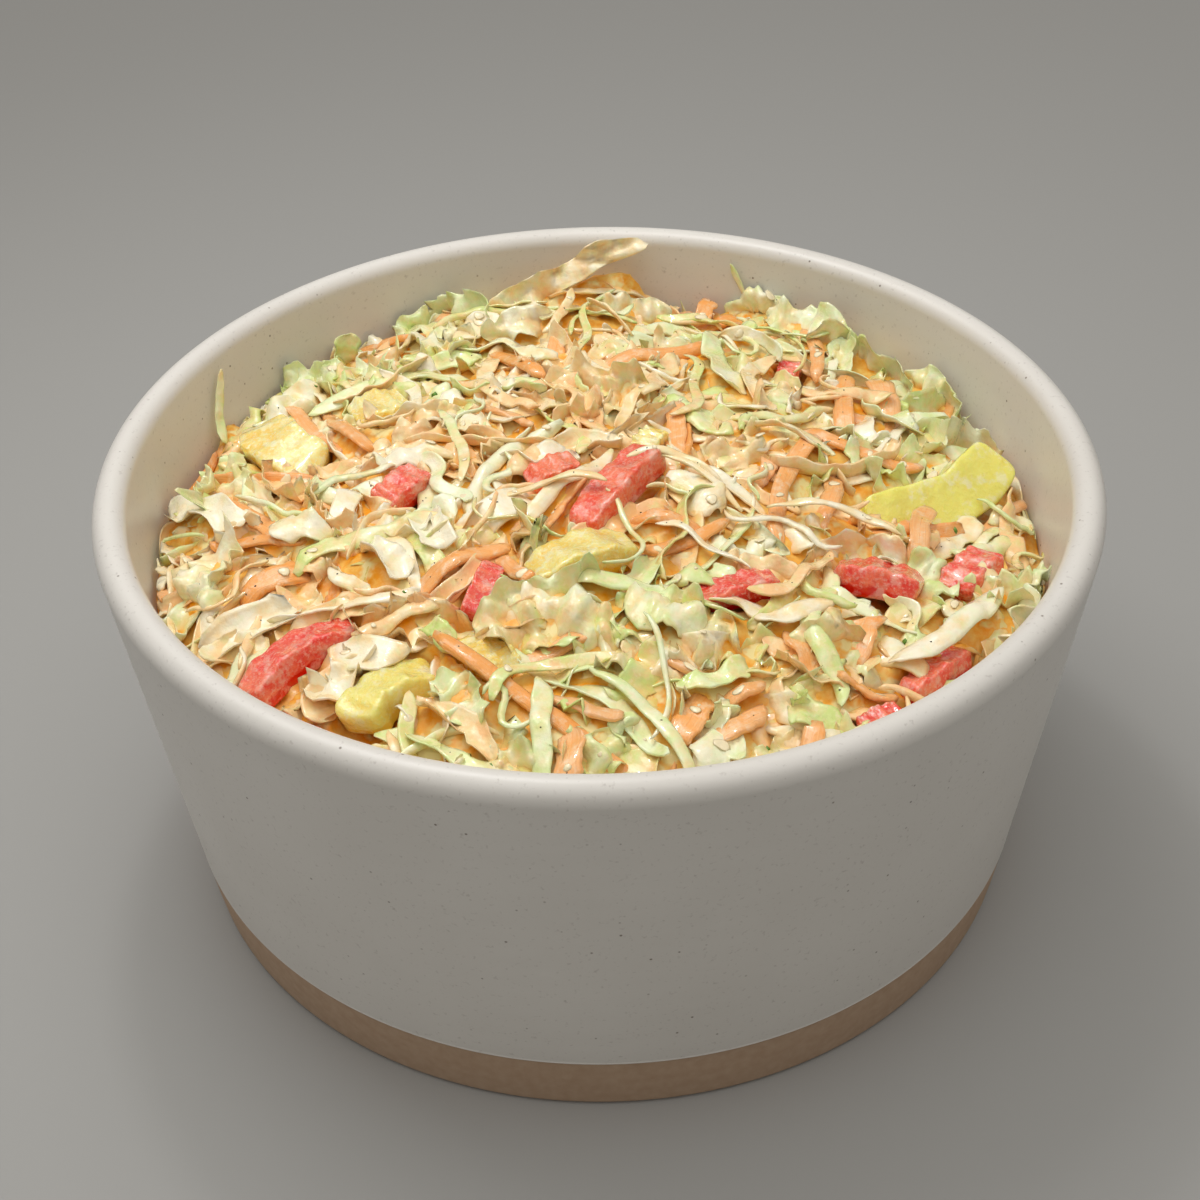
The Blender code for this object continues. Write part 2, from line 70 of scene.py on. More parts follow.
# Soft boxes: place, width and depth in m, power in W, spread in degrees.
# The small glint lamp adds little light, but it puts sharp glints on what is wet.
lamps = {
    "keyLamp": {"place": (-0.16, 0.16, 0.62), "power": 0.46, "width": 0.4, "depth": 0.3, "spread": 110.0},
    "frontLamp": {"place": (0.03, -0.25, 0.85), "power": 0.54, "width": 0.6, "depth": 0.4, "spread": 180.0},
    "glintLamp": {"place": (-0.10, 0.20, 0.66), "power": 0.4, "width": 0.06, "depth": 0.06, "spread": 180.0},
    "sideLamp": {"place": (-0.62, -0.30, 0.35), "power": 0.1, "width": 0.4, "depth": 0.4, "spread": 180.0},
}


def lookAt(place, target):
    # The turn that points an object's -Z from place to target
    way = np.array(target) - np.array(place)
    way = way / np.linalg.norm(way)
    yaw = math.atan2(-way[0], way[1])
    pitch = math.acos(-way[2])
    return (pitch, 0.0, yaw)


def makeCamera(c):
    data = bpy.data.cameras.new("photoCamera")
    data.lens = c["lens"]
    data.sensor_width = 36.0
    data.clip_start = 0.01
    cam = bpy.data.objects.new("photoCamera", data)
    bpy.context.scene.collection.objects.link(cam)
    turn = Matrix.Rotation(math.radians(c["yaw"]), 4, "Z")
    turn = turn @ Matrix.Rotation(math.radians(90 - c["pitchDown"]), 4, "X")
    turn = turn @ Matrix.Rotation(math.radians(c["roll"]), 4, "Z")
    cam.matrix_world = Matrix.Translation(c["place"]) @ turn
    bpy.context.scene.camera = cam
    bpy.context.scene.view_settings.view_transform = "Standard"


def addLamp(name, c):
    data = bpy.data.lights.new(name, "AREA")
    data.shape = "RECTANGLE"
    data.energy = c["power"]
    data.size = c["width"]
    data.size_y = c["depth"]
    data.spread = math.radians(c["spread"])
    lamp = bpy.data.objects.new(name, data)
    bpy.context.scene.collection.objects.link(lamp)
    lamp.location = c["place"]
    lamp.rotation_euler = lookAt(c["place"], (0, 0, 0.08))


def makeLight(c):
    # A studio sky, brightest overhead and dim at the horizon
    world = bpy.data.worlds.new("softSky")
    world.use_nodes = True
    tree = world.node_tree
    background = tree.nodes["Background"]
    background.inputs["Color"].default_value = hexToLinear(c["skyColour"])
    way = addNode(tree.nodes, "ShaderNodeTexCoord").outputs["Generated"]
    height = addNode(tree.nodes, "ShaderNodeSeparateXYZ", links=[(way, 0)]).outputs["Z"]
    strength = mapped(tree.nodes, height, 0.1, 1.0, c["skyLow"], c["skyHigh"])
    tree.links.new(strength, background.inputs["Strength"])
    bpy.context.scene.world = world
    for name, lamp in lamps.items():
        addLamp(name, lamp)


def makeFloor(c):
    bpy.ops.mesh.primitive_plane_add(size=c["floorSize"])
    floor = bpy.context.object
    floor.name = "floorPlane"
    material, _, shader = newMaterial("paleFloor")
    setShader(shader, {"Base Color": hexToLinear(c["floorColour"]), "Roughness": 0.7})
    floor.data.materials.append(material)


# Nodes and meshes

def addNode(nodes, kind, place=(0, 0), links=(), **settings):
    # Adds one node: settings whose names are sockets set those, the others set properties
    node = nodes.new(kind)
    node.location = place
    for key, value in settings.items():
        if key[0] == "_":
            setattr(node, key[1:], value)
        else:
            node.inputs[int(key[1:]) if key[1:].isdigit() else key.replace("_", " ")].default_value = value
    for source, socket in links:
        node.id_data.links.new(source, node.inputs[socket])
    return node


def mixColours(nodes, share, low, high):
    # A colour mix whose ends are hex colours or sockets
    ends = {f"i{k}": hexToLinear(end) for k, end in ((6, low), (7, high)) if isinstance(end, str)}
    links = [(end, k) for k, end in ((6, low), (7, high)) if not isinstance(end, str)]
    return addNode(nodes, "ShaderNodeMix", _data_type="RGBA", links=[(share, 0), *links], **ends).outputs[2]


def mapped(nodes, value, low, high, toLow=0.0, toHigh=1.0):
    node = addNode(nodes, "ShaderNodeMapRange", i1=low, i2=high, i3=toLow, i4=toHigh, links=[(value, 0)])
    return node.outputs[0]


def noise(nodes, coord, scale, detail=3.0, roughness=0.5):
    return addNode(nodes, "ShaderNodeTexNoise", Scale=scale, Detail=detail, Roughness=roughness,
                   links=[(coord, "Vector")]).outputs["Fac"]


def calc(nodes, operation, first, second, clamp=False):
    node = addNode(nodes, "ShaderNodeMath", _operation=operation, _use_clamp=clamp)
    for k, end in enumerate((first, second)):
        if isinstance(end, (int, float)):
            node.inputs[k].default_value = end
        else:
            node.id_data.links.new(end, node.inputs[k])
    return node.outputs[0]


def newMaterial(name):
    material = bpy.data.materials.new(name)
    material.use_nodes = True
    return material, material.node_tree.nodes, material.node_tree.nodes["Principled BSDF"]


def setShader(shader, sockets):
    # Each socket takes a constant, or a link from another node's output
    for name, value in sockets.items():
        if isinstance(value, bpy.types.NodeSocket):
            shader.id_data.links.new(value, shader.inputs[name])
        else:
            shader.inputs[name].default_value = value


def bumpFrom(nodes, height, distance, strength):
    # Relief of the surface from a height field; the strength is a number or a socket
    node = addNode(nodes, "ShaderNodeBump", Distance=distance, links=[(height, "Height")])
    setShader(node, {"Strength": strength})
    return node.outputs[0]


def attribute(nodes, name):
    return addNode(nodes, "ShaderNodeAttribute", _attribute_name=name).outputs["Fac"]


def objectCoord(nodes):
    return addNode(nodes, "ShaderNodeTexCoord").outputs["Object"]


def buildMesh(name, points, quads, caps=None, attributes=None, smooth=True):
    # One mesh from a point array, a quad index array and an optional array of end faces
    faces = quads.tolist() + ([] if caps is None else caps.tolist())
    mesh = bpy.data.meshes.new(name)
    mesh.from_pydata(points.reshape(-1, 3).tolist(), [], faces)
    mesh.polygons.foreach_set("use_smooth", np.full(len(faces), smooth))
    for key, values in (attributes or {}).items():
        layer = mesh.attributes.new(key, "FLOAT", "POINT")
        layer.data.foreach_set("value", np.asarray(values, dtype=np.float32).ravel())
    mesh.update()
    piece = bpy.data.objects.new(name, mesh)
    bpy.context.scene.collection.objects.link(piece)
    return piece


def dress(piece, material, node):
    piece.data.materials.append(material)
    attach(piece, "root")
    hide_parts(node)


# Bowl: one profile turned round the axis

bowl = {
    "wallSlope": 6.8,
    "lipRadius": 4.0,
    "lipCentreR": 116.0,
    "rimHeight": 111.0,
    "glazeLine": 17.4,
    "glazeStep": 0.35,
    "baseRounding": 2.0,
    "floor": 8.0,
    "innerCorner": 18.0,
    "segments": 224,
    "throwingRings": 0.035,
}


def innerRadius(z, offset=0.0):
    # Straight wall leaning out by wallSlope, tangent to the lip's circle; z in mm
    slope = math.radians(bowl["wallSlope"])
    lip = bowl["lipRadius"]
    topZ = bowl["rimHeight"] - lip + (lip + offset) * math.sin(slope)
    topR = bowl["lipCentreR"] - (lip + offset) * math.cos(slope)
    return topR - (topZ - z) * math.tan(slope)


def bowlProfile(b):
    # Radius and height from the middle of the underside to the middle of the inner floor
    slope = math.radians(b["wallSlope"])
    lip, lipZ = b["lipRadius"], b["rimHeight"] - b["lipRadius"]
    wallTopR = b["lipCentreR"] + lip * math.cos(slope)
    wallTopZ = lipZ - lip * math.sin(slope)

    def outerRadius(z):
        return wallTopR - (wallTopZ - z) * math.tan(slope)

    base = np.stack([np.linspace(0, 1, 12), np.zeros(12)], 1)
    cornerR = outerRadius(b["baseRounding"]) - b["glazeStep"] - b["baseRounding"]
    base[:, 0] *= cornerR
    turn = np.linspace(-np.pi / 2, 0, 7)[1:]
    rounding = b["baseRounding"]
    foot = np.stack([cornerR + rounding * np.cos(turn), rounding * (1 + np.sin(turn))], 1)
    z = np.linspace(rounding, b["glazeLine"] - 0.5, 10)[1:]
    bulge = 0.2 * np.sin(np.pi * (z - rounding) / (b["glazeLine"] - rounding))
    band = np.stack([outerRadius(z) - b["glazeStep"] + bulge, z], 1)
    # The glaze ends in a small rolled edge
    turn = np.linspace(-np.pi / 2, np.pi / 2, 6)
    edge = np.stack([
        outerRadius(b["glazeLine"]) - b["glazeStep"] * 0.5 * (1 - np.sin(turn)) + 0.12 * np.cos(turn),
        b["glazeLine"] - 0.35 + 0.3 * (1 + np.sin(turn)),
    ], 1)
    z = np.linspace(b["glazeLine"] + 0.9, wallTopZ - 0.4, 46)
    wall = np.stack([outerRadius(z), z], 1)
    turn = np.linspace(-slope, np.pi - slope, 22)
    rim = np.stack([b["lipCentreR"] + lip * np.cos(turn), lipZ + lip * np.sin(turn)], 1)
    corner, centreZ = b["innerCorner"], b["floor"] + b["innerCorner"]
    wallZ = centreZ - corner * math.sin(slope)
    z = np.linspace(lipZ + lip * math.sin(slope) - 0.6, wallZ + 0.4, 40)
    inside = np.stack([innerRadius(z), z], 1)
    centreR = innerRadius(wallZ) - corner * math.cos(slope)
    turn = np.linspace(-slope, -np.pi / 2, 14)
    fillet = np.stack([centreR + corner * np.cos(turn), centreZ + corner * np.sin(turn)], 1)
    floor = np.stack([np.linspace(centreR, 0, 14)[1:], np.full(13, b["floor"])], 1)
    return np.concatenate([base, foot, band, edge, wall, rim, inside, fillet, floor])


def makeBowl(b):
    # Each profile point is carried round the axis; thrown walls waver by a few hundredths
    profile = bowlProfile(b)
    turn = np.linspace(0, 2 * np.pi, b["segments"], endpoint=False)
    r, z = profile[1:-1, 0][:, None], profile[1:-1, 1][:, None]
    wander = b["throwingRings"] * np.sin(z * 0.9 + 0.5 * np.sin(turn * 2)) * np.clip(z - 19, 0, 1)
    wander = wander + 0.05 * np.sin(3 * turn + z * 0.02) * np.clip(z - 19, 0, 1)
    r = r + wander
    ring = np.stack([r * np.cos(turn), r * np.sin(turn), np.broadcast_to(z, r.shape)], 2)
    rows, count = ring.shape[:2]
    poles = np.array([[0, 0, profile[0, 1]], [0, 0, profile[-1, 1]]])
    points = np.concatenate([ring.reshape(-1, 3), poles]) * mm
    a = np.arange((rows - 1) * count).reshape(rows - 1, count)
    right = np.roll(a, -1, 1)
    quads = np.stack([a, right, right + count, a + count], 2).reshape(-1, 4)
    first, last = np.arange(count), np.arange(count) + (rows - 1) * count
    capsLow = np.stack([np.roll(first, -1), first, np.full(count, rows * count)], 1)
    capsHigh = np.stack([last, np.roll(last, -1), np.full(count, rows * count + 1)], 1)
    piece = buildMesh("bowlShell", points, quads, np.concatenate([capsLow, capsHigh]))
    dress(piece, speckledStoneware(), "bowl")


def speckledStoneware():
    # Wheel-thrown stoneware: satin off-white glaze with iron specks over a bare clay foot.
    # It gives the eye a soft sheen, fine grey and brown dots, and a matt warm band below.
    material, nodes, shader = newMaterial("satinGlazedStoneware")
    coord = objectCoord(nodes)
    height = addNode(nodes, "ShaderNodeSeparateXYZ", links=[(coord, 0)]).outputs["Z"]
    waver = mapped(nodes, noise(nodes, coord, 60.0), 0.0, 1.0, -0.00045, 0.00045)
    glazed = mapped(nodes, calc(nodes, "ADD", height, waver), 0.0171, 0.0174)
    # Iron specks 0.3 to 0.6 mm across, about 4 mm apart
    specks = addNode(nodes, "ShaderNodeTexVoronoi", Scale=330.0, links=[(coord, "Vector")])
    pick = addNode(nodes, "ShaderNodeSeparateColor", links=[(specks.outputs["Color"], 0)]).outputs[0]
    dots = calc(nodes, "MULTIPLY", mapped(nodes, specks.outputs["Distance"], 0.05, 0.13, 1.0, 0.0),
                mapped(nodes, pick, 0.72, 0.9))
    fine = mapped(nodes, noise(nodes, coord, 900.0, 2.0), 0.62, 0.8, 0.0, 0.3)
    glaze = mixColours(nodes, noise(nodes, coord, 25.0, 2.0), "#E6E2DB", "#DAD5CD")
    glaze = mixColours(nodes, calc(nodes, "MAXIMUM", dots, fine), glaze, "#7A6A5C")
    grain = noise(nodes, coord, 420.0, 4.0)
    clay = mixColours(nodes, grain, "#C3A88E", "#AB8C70")
    setShader(shader, {
        "Base Color": mixColours(nodes, glazed, clay, glaze),
        "Roughness": mapped(nodes, glazed, 0.0, 1.0, 0.82, 0.36),
        "Normal": bumpFrom(nodes, grain, 0.0002, 0.25),
        "IOR": 1.5,
    })
    return material


# Heap: where shreds come to lie

# Heights, reaches and spacings in mm; the blurs are in cells of 1 mm
heap = {
    "edgeR": 109.0,
    "edgeTop": 84.5,
    "domeRise": 14.5,
    "bumpHeight": 1.1,
    "bumpSpacing": 31.0,
    "looseRise": 0.6,
    "hummockHeight": 1.2,
    "rippleHeight": 0.9,
    "firstLayerBelow": 5.0,
    "ceilingBlur": 4.0,
    "gapBlur": 5.0,
    "gapRise": 0.4,
    "levelBlur": 2.5,
    # The depth under the heap's level, in mm, over which the cabbage's painted shade builds up
    "paintedShadeDepth": 4.0,
    "scatterR": 107.0,
    "highest": 113.5,
}

# The same places as the pepper nodes: x, y, heading, length, width, thickness, bow, arch,
# pitch, roll in mm and degrees, then the height of the middle
redPieces = [
    (5, -6, 57, 33, 10, 8, 0, 1.5, 6, -12, 2.8),
    (-66, -57, 40, 29, 9, 8, 3, 2.5, 7, -15, 3.0),
    (-65, -77, -29, 20, 7, 6, -1.5, 0, 0, -20, 2.0),
    (-48, 2, 48, 14, 9, 7, 0, 1.0, 8, 0, 2.6),
    (-27, -41, 72, 16, 6, 6, 0, 0.5, 10, 20, 2.6),
    (64, -35, -20, 20, 12, 8, 0, 1.5, 0, -25, 1.2),
    (87, -30, 49, 15, 10, 9, 0, 1.0, 6, -10, 2.6),
    (74, -62, 44, 20, 7, 7, 0, 0.5, 0, -15, 1.6),
    (31, -42, 23, 20, 8, 6, 0, 1.0, 0, -10, 1.6),
    (-11, 3, 25, 13, 8, 6, 0, 1.0, 10, 0, 2.4),
    (52, 60, 70, 9, 6, 5, 0, 0.5, 0, 0, 2.4),
    (60, -77, 30, 11, 6, 5, 0, 0.5, 0, 0, 1.6),
]
yellowPieces = [
    (-79, 32, -50, 26, 15, 8, -3, 2.5, 0, 15, 2.6),
    (-57, 44, 32, 15, 12, 6, 0, 1.5, 0, 0, 2.2),
    (-4, -33.5, 26, 25, 12, 8, 0, 3.0, 0, -8, 2.6),
    (-44.8, -70, 42, 21, 11, 9, 3, 2.0, 0, -12, 1.8),
    (-25, -61, -50, 15, 9, 7, 0, 1.0, 0, 0, 1.8),
    (82, 4.5, 33, 44, 15, 6, -6, 0, 3, 38, 4.6),
    (13, 15, 60, 9, 7, 5, 0, 0.5, 0, 0, 2.4),
]


def bareCore(x, y):
    # The dome and bumps that the pepper rests on; all in mm
    across = np.minimum(np.hypot(x, y) / heap["edgeR"], 1)
    wave = 2 * np.pi / heap["bumpSpacing"]
    bumps = np.sin(wave * x + 1.7 + 0 * y) * np.cos(wave * y * 0.87 + 0.4)
    bumps = bumps + 0.6 * np.sin(wave * (0.7 * x + 1.3 * y) + 2.9)
    return heap["edgeTop"] + heap["domeRise"] * (1 - across**2) + heap["bumpHeight"] * bumps


# Crinkled clumps that stand above the rest: x, y, reach and height in mm
clumps = [
    (-8, -50, 17, 3.5), (60, 78, 20, 6.5), (-42, 92, 14, 7.0), (2, 52, 20, 3.0), (-88, 16, 14, 3.0),
    (26, 6, 16, 2.5), (98, -40, 12, 5.0), (-64, 58, 14, 3.5), (40, -62, 14, 2.5), (-28, 28, 16, 2.5),
    (86, 52, 12, 5.0), (8, 96, 16, 3.5), (-40, -26, 12, 2.0), (-92, -32, 12, 2.5), (44, 34, 14, 3.0),
]


def heapTop(x, y):
    # The height that the covering shreds build up to: Gaussian clumps on loose hummocks and dips
    hummocks = np.sin(0.13 * x + 0.9 + 0.05 * y) * np.cos(0.16 * y - 0.04 * x + 1.1)
    ripples = np.sin(0.29 * x - 0.21 * y + 2.0)
    rise = sum(h * np.exp(-((x - a) ** 2 + (y - b) ** 2) / r**2) for a, b, r, h in clumps)
    return (bareCore(x, y) + heap["looseRise"] + rise + heap["hummockHeight"] * hummocks
            + heap["rippleHeight"] * ripples)


gridSize = 240
cells = np.arange(gridSize) - gridSize / 2 + 0.5
gridX, gridY = np.meshgrid(cells, cells)
coreGrid = bareCore(gridX, gridY) - 3.5
topGrid = coreGrid.copy()
guard = np.zeros_like(topGrid)


def blurred(grid, reach):
    # A Gaussian of the given reach in cells, along both directions of the grid
    taps = np.arange(-int(3 * reach), int(3 * reach) + 1)
    weights = np.exp(-(taps / reach) ** 2 / 2)
    weights /= weights.sum()
    for axis in (0, 1):
        grid = sum(np.roll(grid, tap, axis) * weight for tap, weight in zip(taps, weights))
    return grid


def cellOf(x, y):
    i = np.clip((y + gridSize / 2).astype(int), 0, gridSize - 1)
    j = np.clip((x + gridSize / 2).astype(int), 0, gridSize - 1)
    return i, j


# Pepper: bent sticks and slabs with a skin side and ribbed flesh

def turnMatrix(heading, pitch, roll):
    # Roll about X, then pitch about Y, then heading about Z, in degrees
    h, p, r = np.radians([heading, -pitch, roll])
    aboutX = np.array([[1, 0, 0], [0, np.cos(r), -np.sin(r)], [0, np.sin(r), np.cos(r)]])
    aboutY = np.array([[np.cos(p), 0, np.sin(p)], [0, 1, 0], [-np.sin(p), 0, np.cos(p)]])
    aboutZ = np.array([[np.cos(h), -np.sin(h), 0], [np.sin(h), np.cos(h), 0], [0, 0, 1]])
    return aboutZ @ aboutY @ aboutX


def pepperPoints(piece, stations=40, around=36, seed=0):
    # A rounded-rectangle section (superellipse of power 5) carried along a bent middle line
    x, y, heading, length, width, thick, bow, arch, pitch, roll, lift = piece
    wobble = np.random.default_rng(seed)
    phase = wobble.uniform(0, 2 * np.pi, 6)
    s = np.sin(np.linspace(-np.pi / 2, np.pi / 2, stations))[:, None]
    turn = np.linspace(0, 2 * np.pi, around, endpoint=False)[None, :]
    power = 2 / 7
    v = np.sign(np.cos(turn)) * np.abs(np.cos(turn)) ** power
    w = np.sign(np.sin(turn)) * np.abs(np.sin(turn)) ** power
    drawIn = (1 - 0.22 * s**4) * np.clip((1 - np.abs(s) ** 30), 0.0, 1) ** 0.5
    drawIn = np.maximum(drawIn, 0.02)
    uneven = 1 + 0.05 * np.sin(5 * s + phase[0]) + 0.03 * np.sin(11 * s + phase[1])
    v = v * width / 2 * drawIn * uneven
    # Flesh side on top: soft ribs across it and a slightly sunken middle
    ribs = 0.5 * np.sin(9 * s + phase[2] + 2.5 * v / width) + 0.4 * np.sin(19 * s + phase[3] - 5 * v / width)
    hollow = -0.09 * thick * (1 - (2 * v / width) ** 2)
    w = w * thick / 2 * drawIn + np.where(w > 0.3, ribs * 0.6 + hollow, 0) * drawIn
    sideSlope = np.arctan2(-4 * bow * s, length)
    faceSlope = np.arctan2(-4 * arch * s, length)
    along = s * length / 2 - v * np.sin(sideSlope) - w * np.sin(faceSlope)
    side = bow * (1 - s * s) + v * np.cos(sideSlope)
    up = arch * (1 - s * s) + w * np.cos(faceSlope)
    local = np.stack([along, side, up], 2)
    middle = np.array([x, y, bareCore(float(x), float(y)) + lift])
    skin = np.clip(-w / (thick / 2) * 0.9 + 0.1, 0, 1) + 0 * s
    return local @ turnMatrix(heading, pitch, roll).T + middle, skin


def tubeFaces(pieces, stations, around):
    # Quads round and along each of many equal tubes, and one cap at each end
    a = np.arange((stations - 1) * around).reshape(stations - 1, around)
    right = np.roll(a, -1, 1)
    quads = np.stack([a, right, right + around, a + around], 2).reshape(-1, 4)
    start = np.arange(pieces)[:, None, None] * stations * around
    quads = (quads[None] + start).reshape(-1, 4)
    ring = np.arange(around)
    caps = np.stack([ring[::-1], ring + (stations - 1) * around])
    caps = (caps[None] + start).reshape(-1, around)
    return quads, caps


# How green-yellow the yellow pieces are, and how orange the red ones
unripeShares = {"yellow_pepperPiece4": 0.45, "yellow_pepperPiece6": 0.9, "yellow_pepperPiece3": 0.1,
                "red_pepperPiece1": 0.15, "red_pepperPiece10": 0.3, "red_pepperPiece4": 0.1}


def makePeppers(nodeName, pieces, material):
    for number, piece in enumerate(pieces, 1):
        points, skin = pepperPoints(piece, seed=number)
        dense = pepperPoints(piece, 90, 120, seed=number)[0]
        i, j = (a.ravel() for a in cellOf(dense[..., 0], dense[..., 1]))
        np.maximum.at(topGrid, (i, j), dense[..., 2].ravel())
        np.minimum.at(coreGrid, (i, j), dense[..., 2].ravel() - 0.6)
        guard[i, j] = 1
        name = f"{nodeName}Piece{number}"
        made = buildMesh(name, points * mm, *tubeFaces(1, *points.shape[:2]), {
            "skin": skin, "unripe": np.full(skin.shape, unripeShares.get(name, 0.0))})
        dress(made, material, f"{nodeName}_{number}")


# How far red, green and blue light travels in the flesh is lightReach, against each other
redFlesh = {
    "skin": "#E01806",
    "flesh": "#FF8462",
    "deep": "#F24434",
    "film": "#FFC8B8",
    "unripe": "#FF8440",
    "lightReach": (1.0, 0.45, 0.3),
}
yellowFlesh = {
    "skin": "#FABA10",
    "flesh": "#FFE898",
    "deep": "#FFD264",
    "film": "#FFF6D0",
    "unripe": "#F2EC70",
    "lightReach": (1.0, 0.8, 0.4),
}


def pepperFlesh(name, c):
    # Bell pepper, cut in sticks: tight glossy skin on one side and juicy flesh with fine cells.
    # It gives the eye a deep shiny edge and a milky, slightly clear cut face with white glints.
    material, nodes, shader = newMaterial(name)
    coord = objectCoord(nodes)
    grain, patch = noise(nodes, coord, 1300.0, 3.0, 0.6), noise(nodes, coord, 380.0, 3.0, 0.6)
    skin = calc(nodes, "ADD", attribute(nodes, "skin"), mapped(nodes, patch, 0.3, 0.7, -0.15, 0.15))
    isSkin = mapped(nodes, skin, 0.28, 0.42)
    broad = calc(nodes, "ADD", noise(nodes, coord, 110.0, 2.0), patch)
    flesh = mixColours(nodes, mapped(nodes, broad, 0.85, 1.15), c["deep"], c["flesh"])
    flesh = mixColours(nodes, mapped(nodes, grain, 0.5, 0.68, 0.0, 0.6), flesh, c["film"])
    colour = mixColours(nodes, isSkin, flesh, c["skin"])
    colour = mixColours(nodes, attribute(nodes, "unripe"), colour, c["unripe"])
    film = mapped(nodes, noise(nodes, coord, 260.0, 4.0, 0.6), 0.53, 0.66, 0.0, 0.6)
    height = calc(nodes, "ADD", patch, calc(nodes, "MULTIPLY", grain, 0.35))
    setShader(shader, {
        "Base Color": mixColours(nodes, film, colour, c["film"]),
        "Roughness": mapped(nodes, grain, 0.3, 0.7, 0.08, 0.25),
        "Normal": bumpFrom(nodes, height, 0.0008, mapped(nodes, isSkin, 0.0, 1.0, 0.7, 0.1)),
        "Subsurface Weight": 0.7,
        "Subsurface Radius": c["lightReach"],
        "Subsurface Scale": 0.003,
        "Coat Weight": 0.9,
        "Coat Roughness": 0.07,
        "IOR": 1.4,
    })
    return material


# Shreds: stiff curved bands that come to rest one after another on the growing heap

def layCourses(count, kind, order):
    # Middle lines about their own centre: the direction at s in [-1, 1] is
    # yaw(s) = h + bend s + wiggle sin(4.5 s + p), pitch(s) = tip + arc s + sway sin(3 s + q)
    steps = kind["stations"]
    s = np.linspace(-1, 1, steps)[None, :]
    length = order.uniform(*kind["length"], (count, 1))
    draw = order.normal(0, 1, (6, count, 1))
    phase = order.uniform(0, 2 * np.pi, (3, count, 1))
    yaw = phase[0] + kind["bend"] * draw[0] * s + kind["wiggle"] * draw[1] * np.sin(4.5 * s + phase[1])
    pitch = kind["tip"] * draw[2] - np.abs(kind["arc"] * draw[3]) * s * np.sign(draw[4] + 0.7)
    pitch = np.clip(pitch + 0.15 * draw[5] * np.sin(3 * s + phase[2]), -1.2, 1.2)
    step = length / (steps - 1)
    course = np.stack([np.cos(yaw) * np.cos(pitch), np.sin(yaw) * np.cos(pitch), np.sin(pitch)], 2)
    course = np.cumsum(course * step[..., None], 1)
    return course - course.mean(1, keepdims=True)


def bandFrames(courses, roll):
    # Side and up directions across each band: the level side vector turned by roll round the line
    tangent = np.gradient(courses, axis=1)
    tangent /= np.linalg.norm(tangent, axis=2, keepdims=True) + 1e-9
    side = np.cross(np.array([0.0, 0.0, 1.0]), tangent)
    side /= np.linalg.norm(side, axis=2, keepdims=True) + 1e-9
    up = np.cross(tangent, side)
    c, n = np.cos(roll)[..., None], np.sin(roll)[..., None]
    return side * c + up * n, up * c - side * n, tangent


def keepInside(x, y, z, margin=0.5, soft=3.0):
    # Squeezes points near the wall inwards: beyond limit - soft, the distance dies out as exp
    r = np.hypot(x, y)
    limit = innerRadius(z) - margin
    inner = limit - soft
    squeezed = np.where(r > inner, limit - soft * np.exp(-(np.maximum(r, inner) - inner) / soft), r)
    scale = squeezed / np.maximum(r, 1e-6)
    return x * scale, y * scale


def drape(line, side, half, kind):
    # Lifts the parts of a band that lie under the heap's top: the ground's upper envelope by
    # parabolas of the kind's stiffness, z(s) = max over t of ground(t) - (s - t)^2 / (2 stiff)
    along = np.concatenate([[0], np.cumsum(np.hypot(*np.diff(line[:, :2], axis=0).T))])
    ground = np.full(len(line), -1e9)
    for k in (-0.7, 0.0, 0.7):
        edge = line + side * half * k
        i, j = cellOf(edge[:, 0], edge[:, 1])
        ground = np.maximum(ground, topGrid[i, j] - side[:, 2] * half * k)
    apart = (along[:, None] - along[None, :]) ** 2 / (2 * kind["stiff"])
    rest = (ground[None, :] - apart).max(1) + kind["thick"] * 0.5 - kind["sink"]
    ceiling = ceilingGrid[cellOf(line[:, 0], line[:, 1])] + kind["over"] - np.abs(side[:, 2]) * half
    line[:, 2] = np.maximum(line[:, 2], np.minimum(rest, ceiling))


def settle(line, side, half, kind):
    # The height to add to a band so that a part of it, 1 - settle, has sunk into the heap
    edges = np.concatenate([line + side * half * k for k in (-0.85, 0.0, 0.85)])
    i, j = cellOf(edges[:, 0], edges[:, 1])
    drop = np.quantile(topGrid[i, j] - edges[:, 2], kind["settle"]) + kind["thick"] * 0.5
    ceiling = ceilingGrid[i, j] + kind["over"] - edges[:, 2]
    return min(drop, np.quantile(ceiling, 0.12))


def raiseHeap(line, side, half, thick):
    # Adds a laid band to the height grid, sampled finely along and across it
    steps = np.arange(len(line))
    fine = np.linspace(0, len(line) - 1, len(line) * 4)
    path = np.stack([np.interp(fine, steps, line[:, k]) for k in range(3)], 1)
    wide = np.stack([np.interp(fine, steps, side[:, k]) for k in range(3)], 1)
    across = np.linspace(-1, 1, max(3, int(half * 2 / 0.7) + 1))[:, None, None] * half
    points = (path + wide * across).reshape(-1, 3)
    i, j = cellOf(points[:, 0], points[:, 1])
    np.maximum.at(topGrid, (i, j), points[:, 2] + thick / 2)


def heapNeed(x, y, aim, shy):
    # How far the heap still lies under its target along a line; the pepper, by the kind's
    # shyness, and the wall repel it
    i, j = cellOf(x, y)
    need = (aim[i, j] - topGrid[i, j]).mean(-1)
    covered = guard[i, j].mean(-1)
    outside = (np.hypot(x, y) > innerRadius(90.0)).mean(-1)
    return need - shy * np.maximum(covered - 0.1, 0) - 4.0 * outside


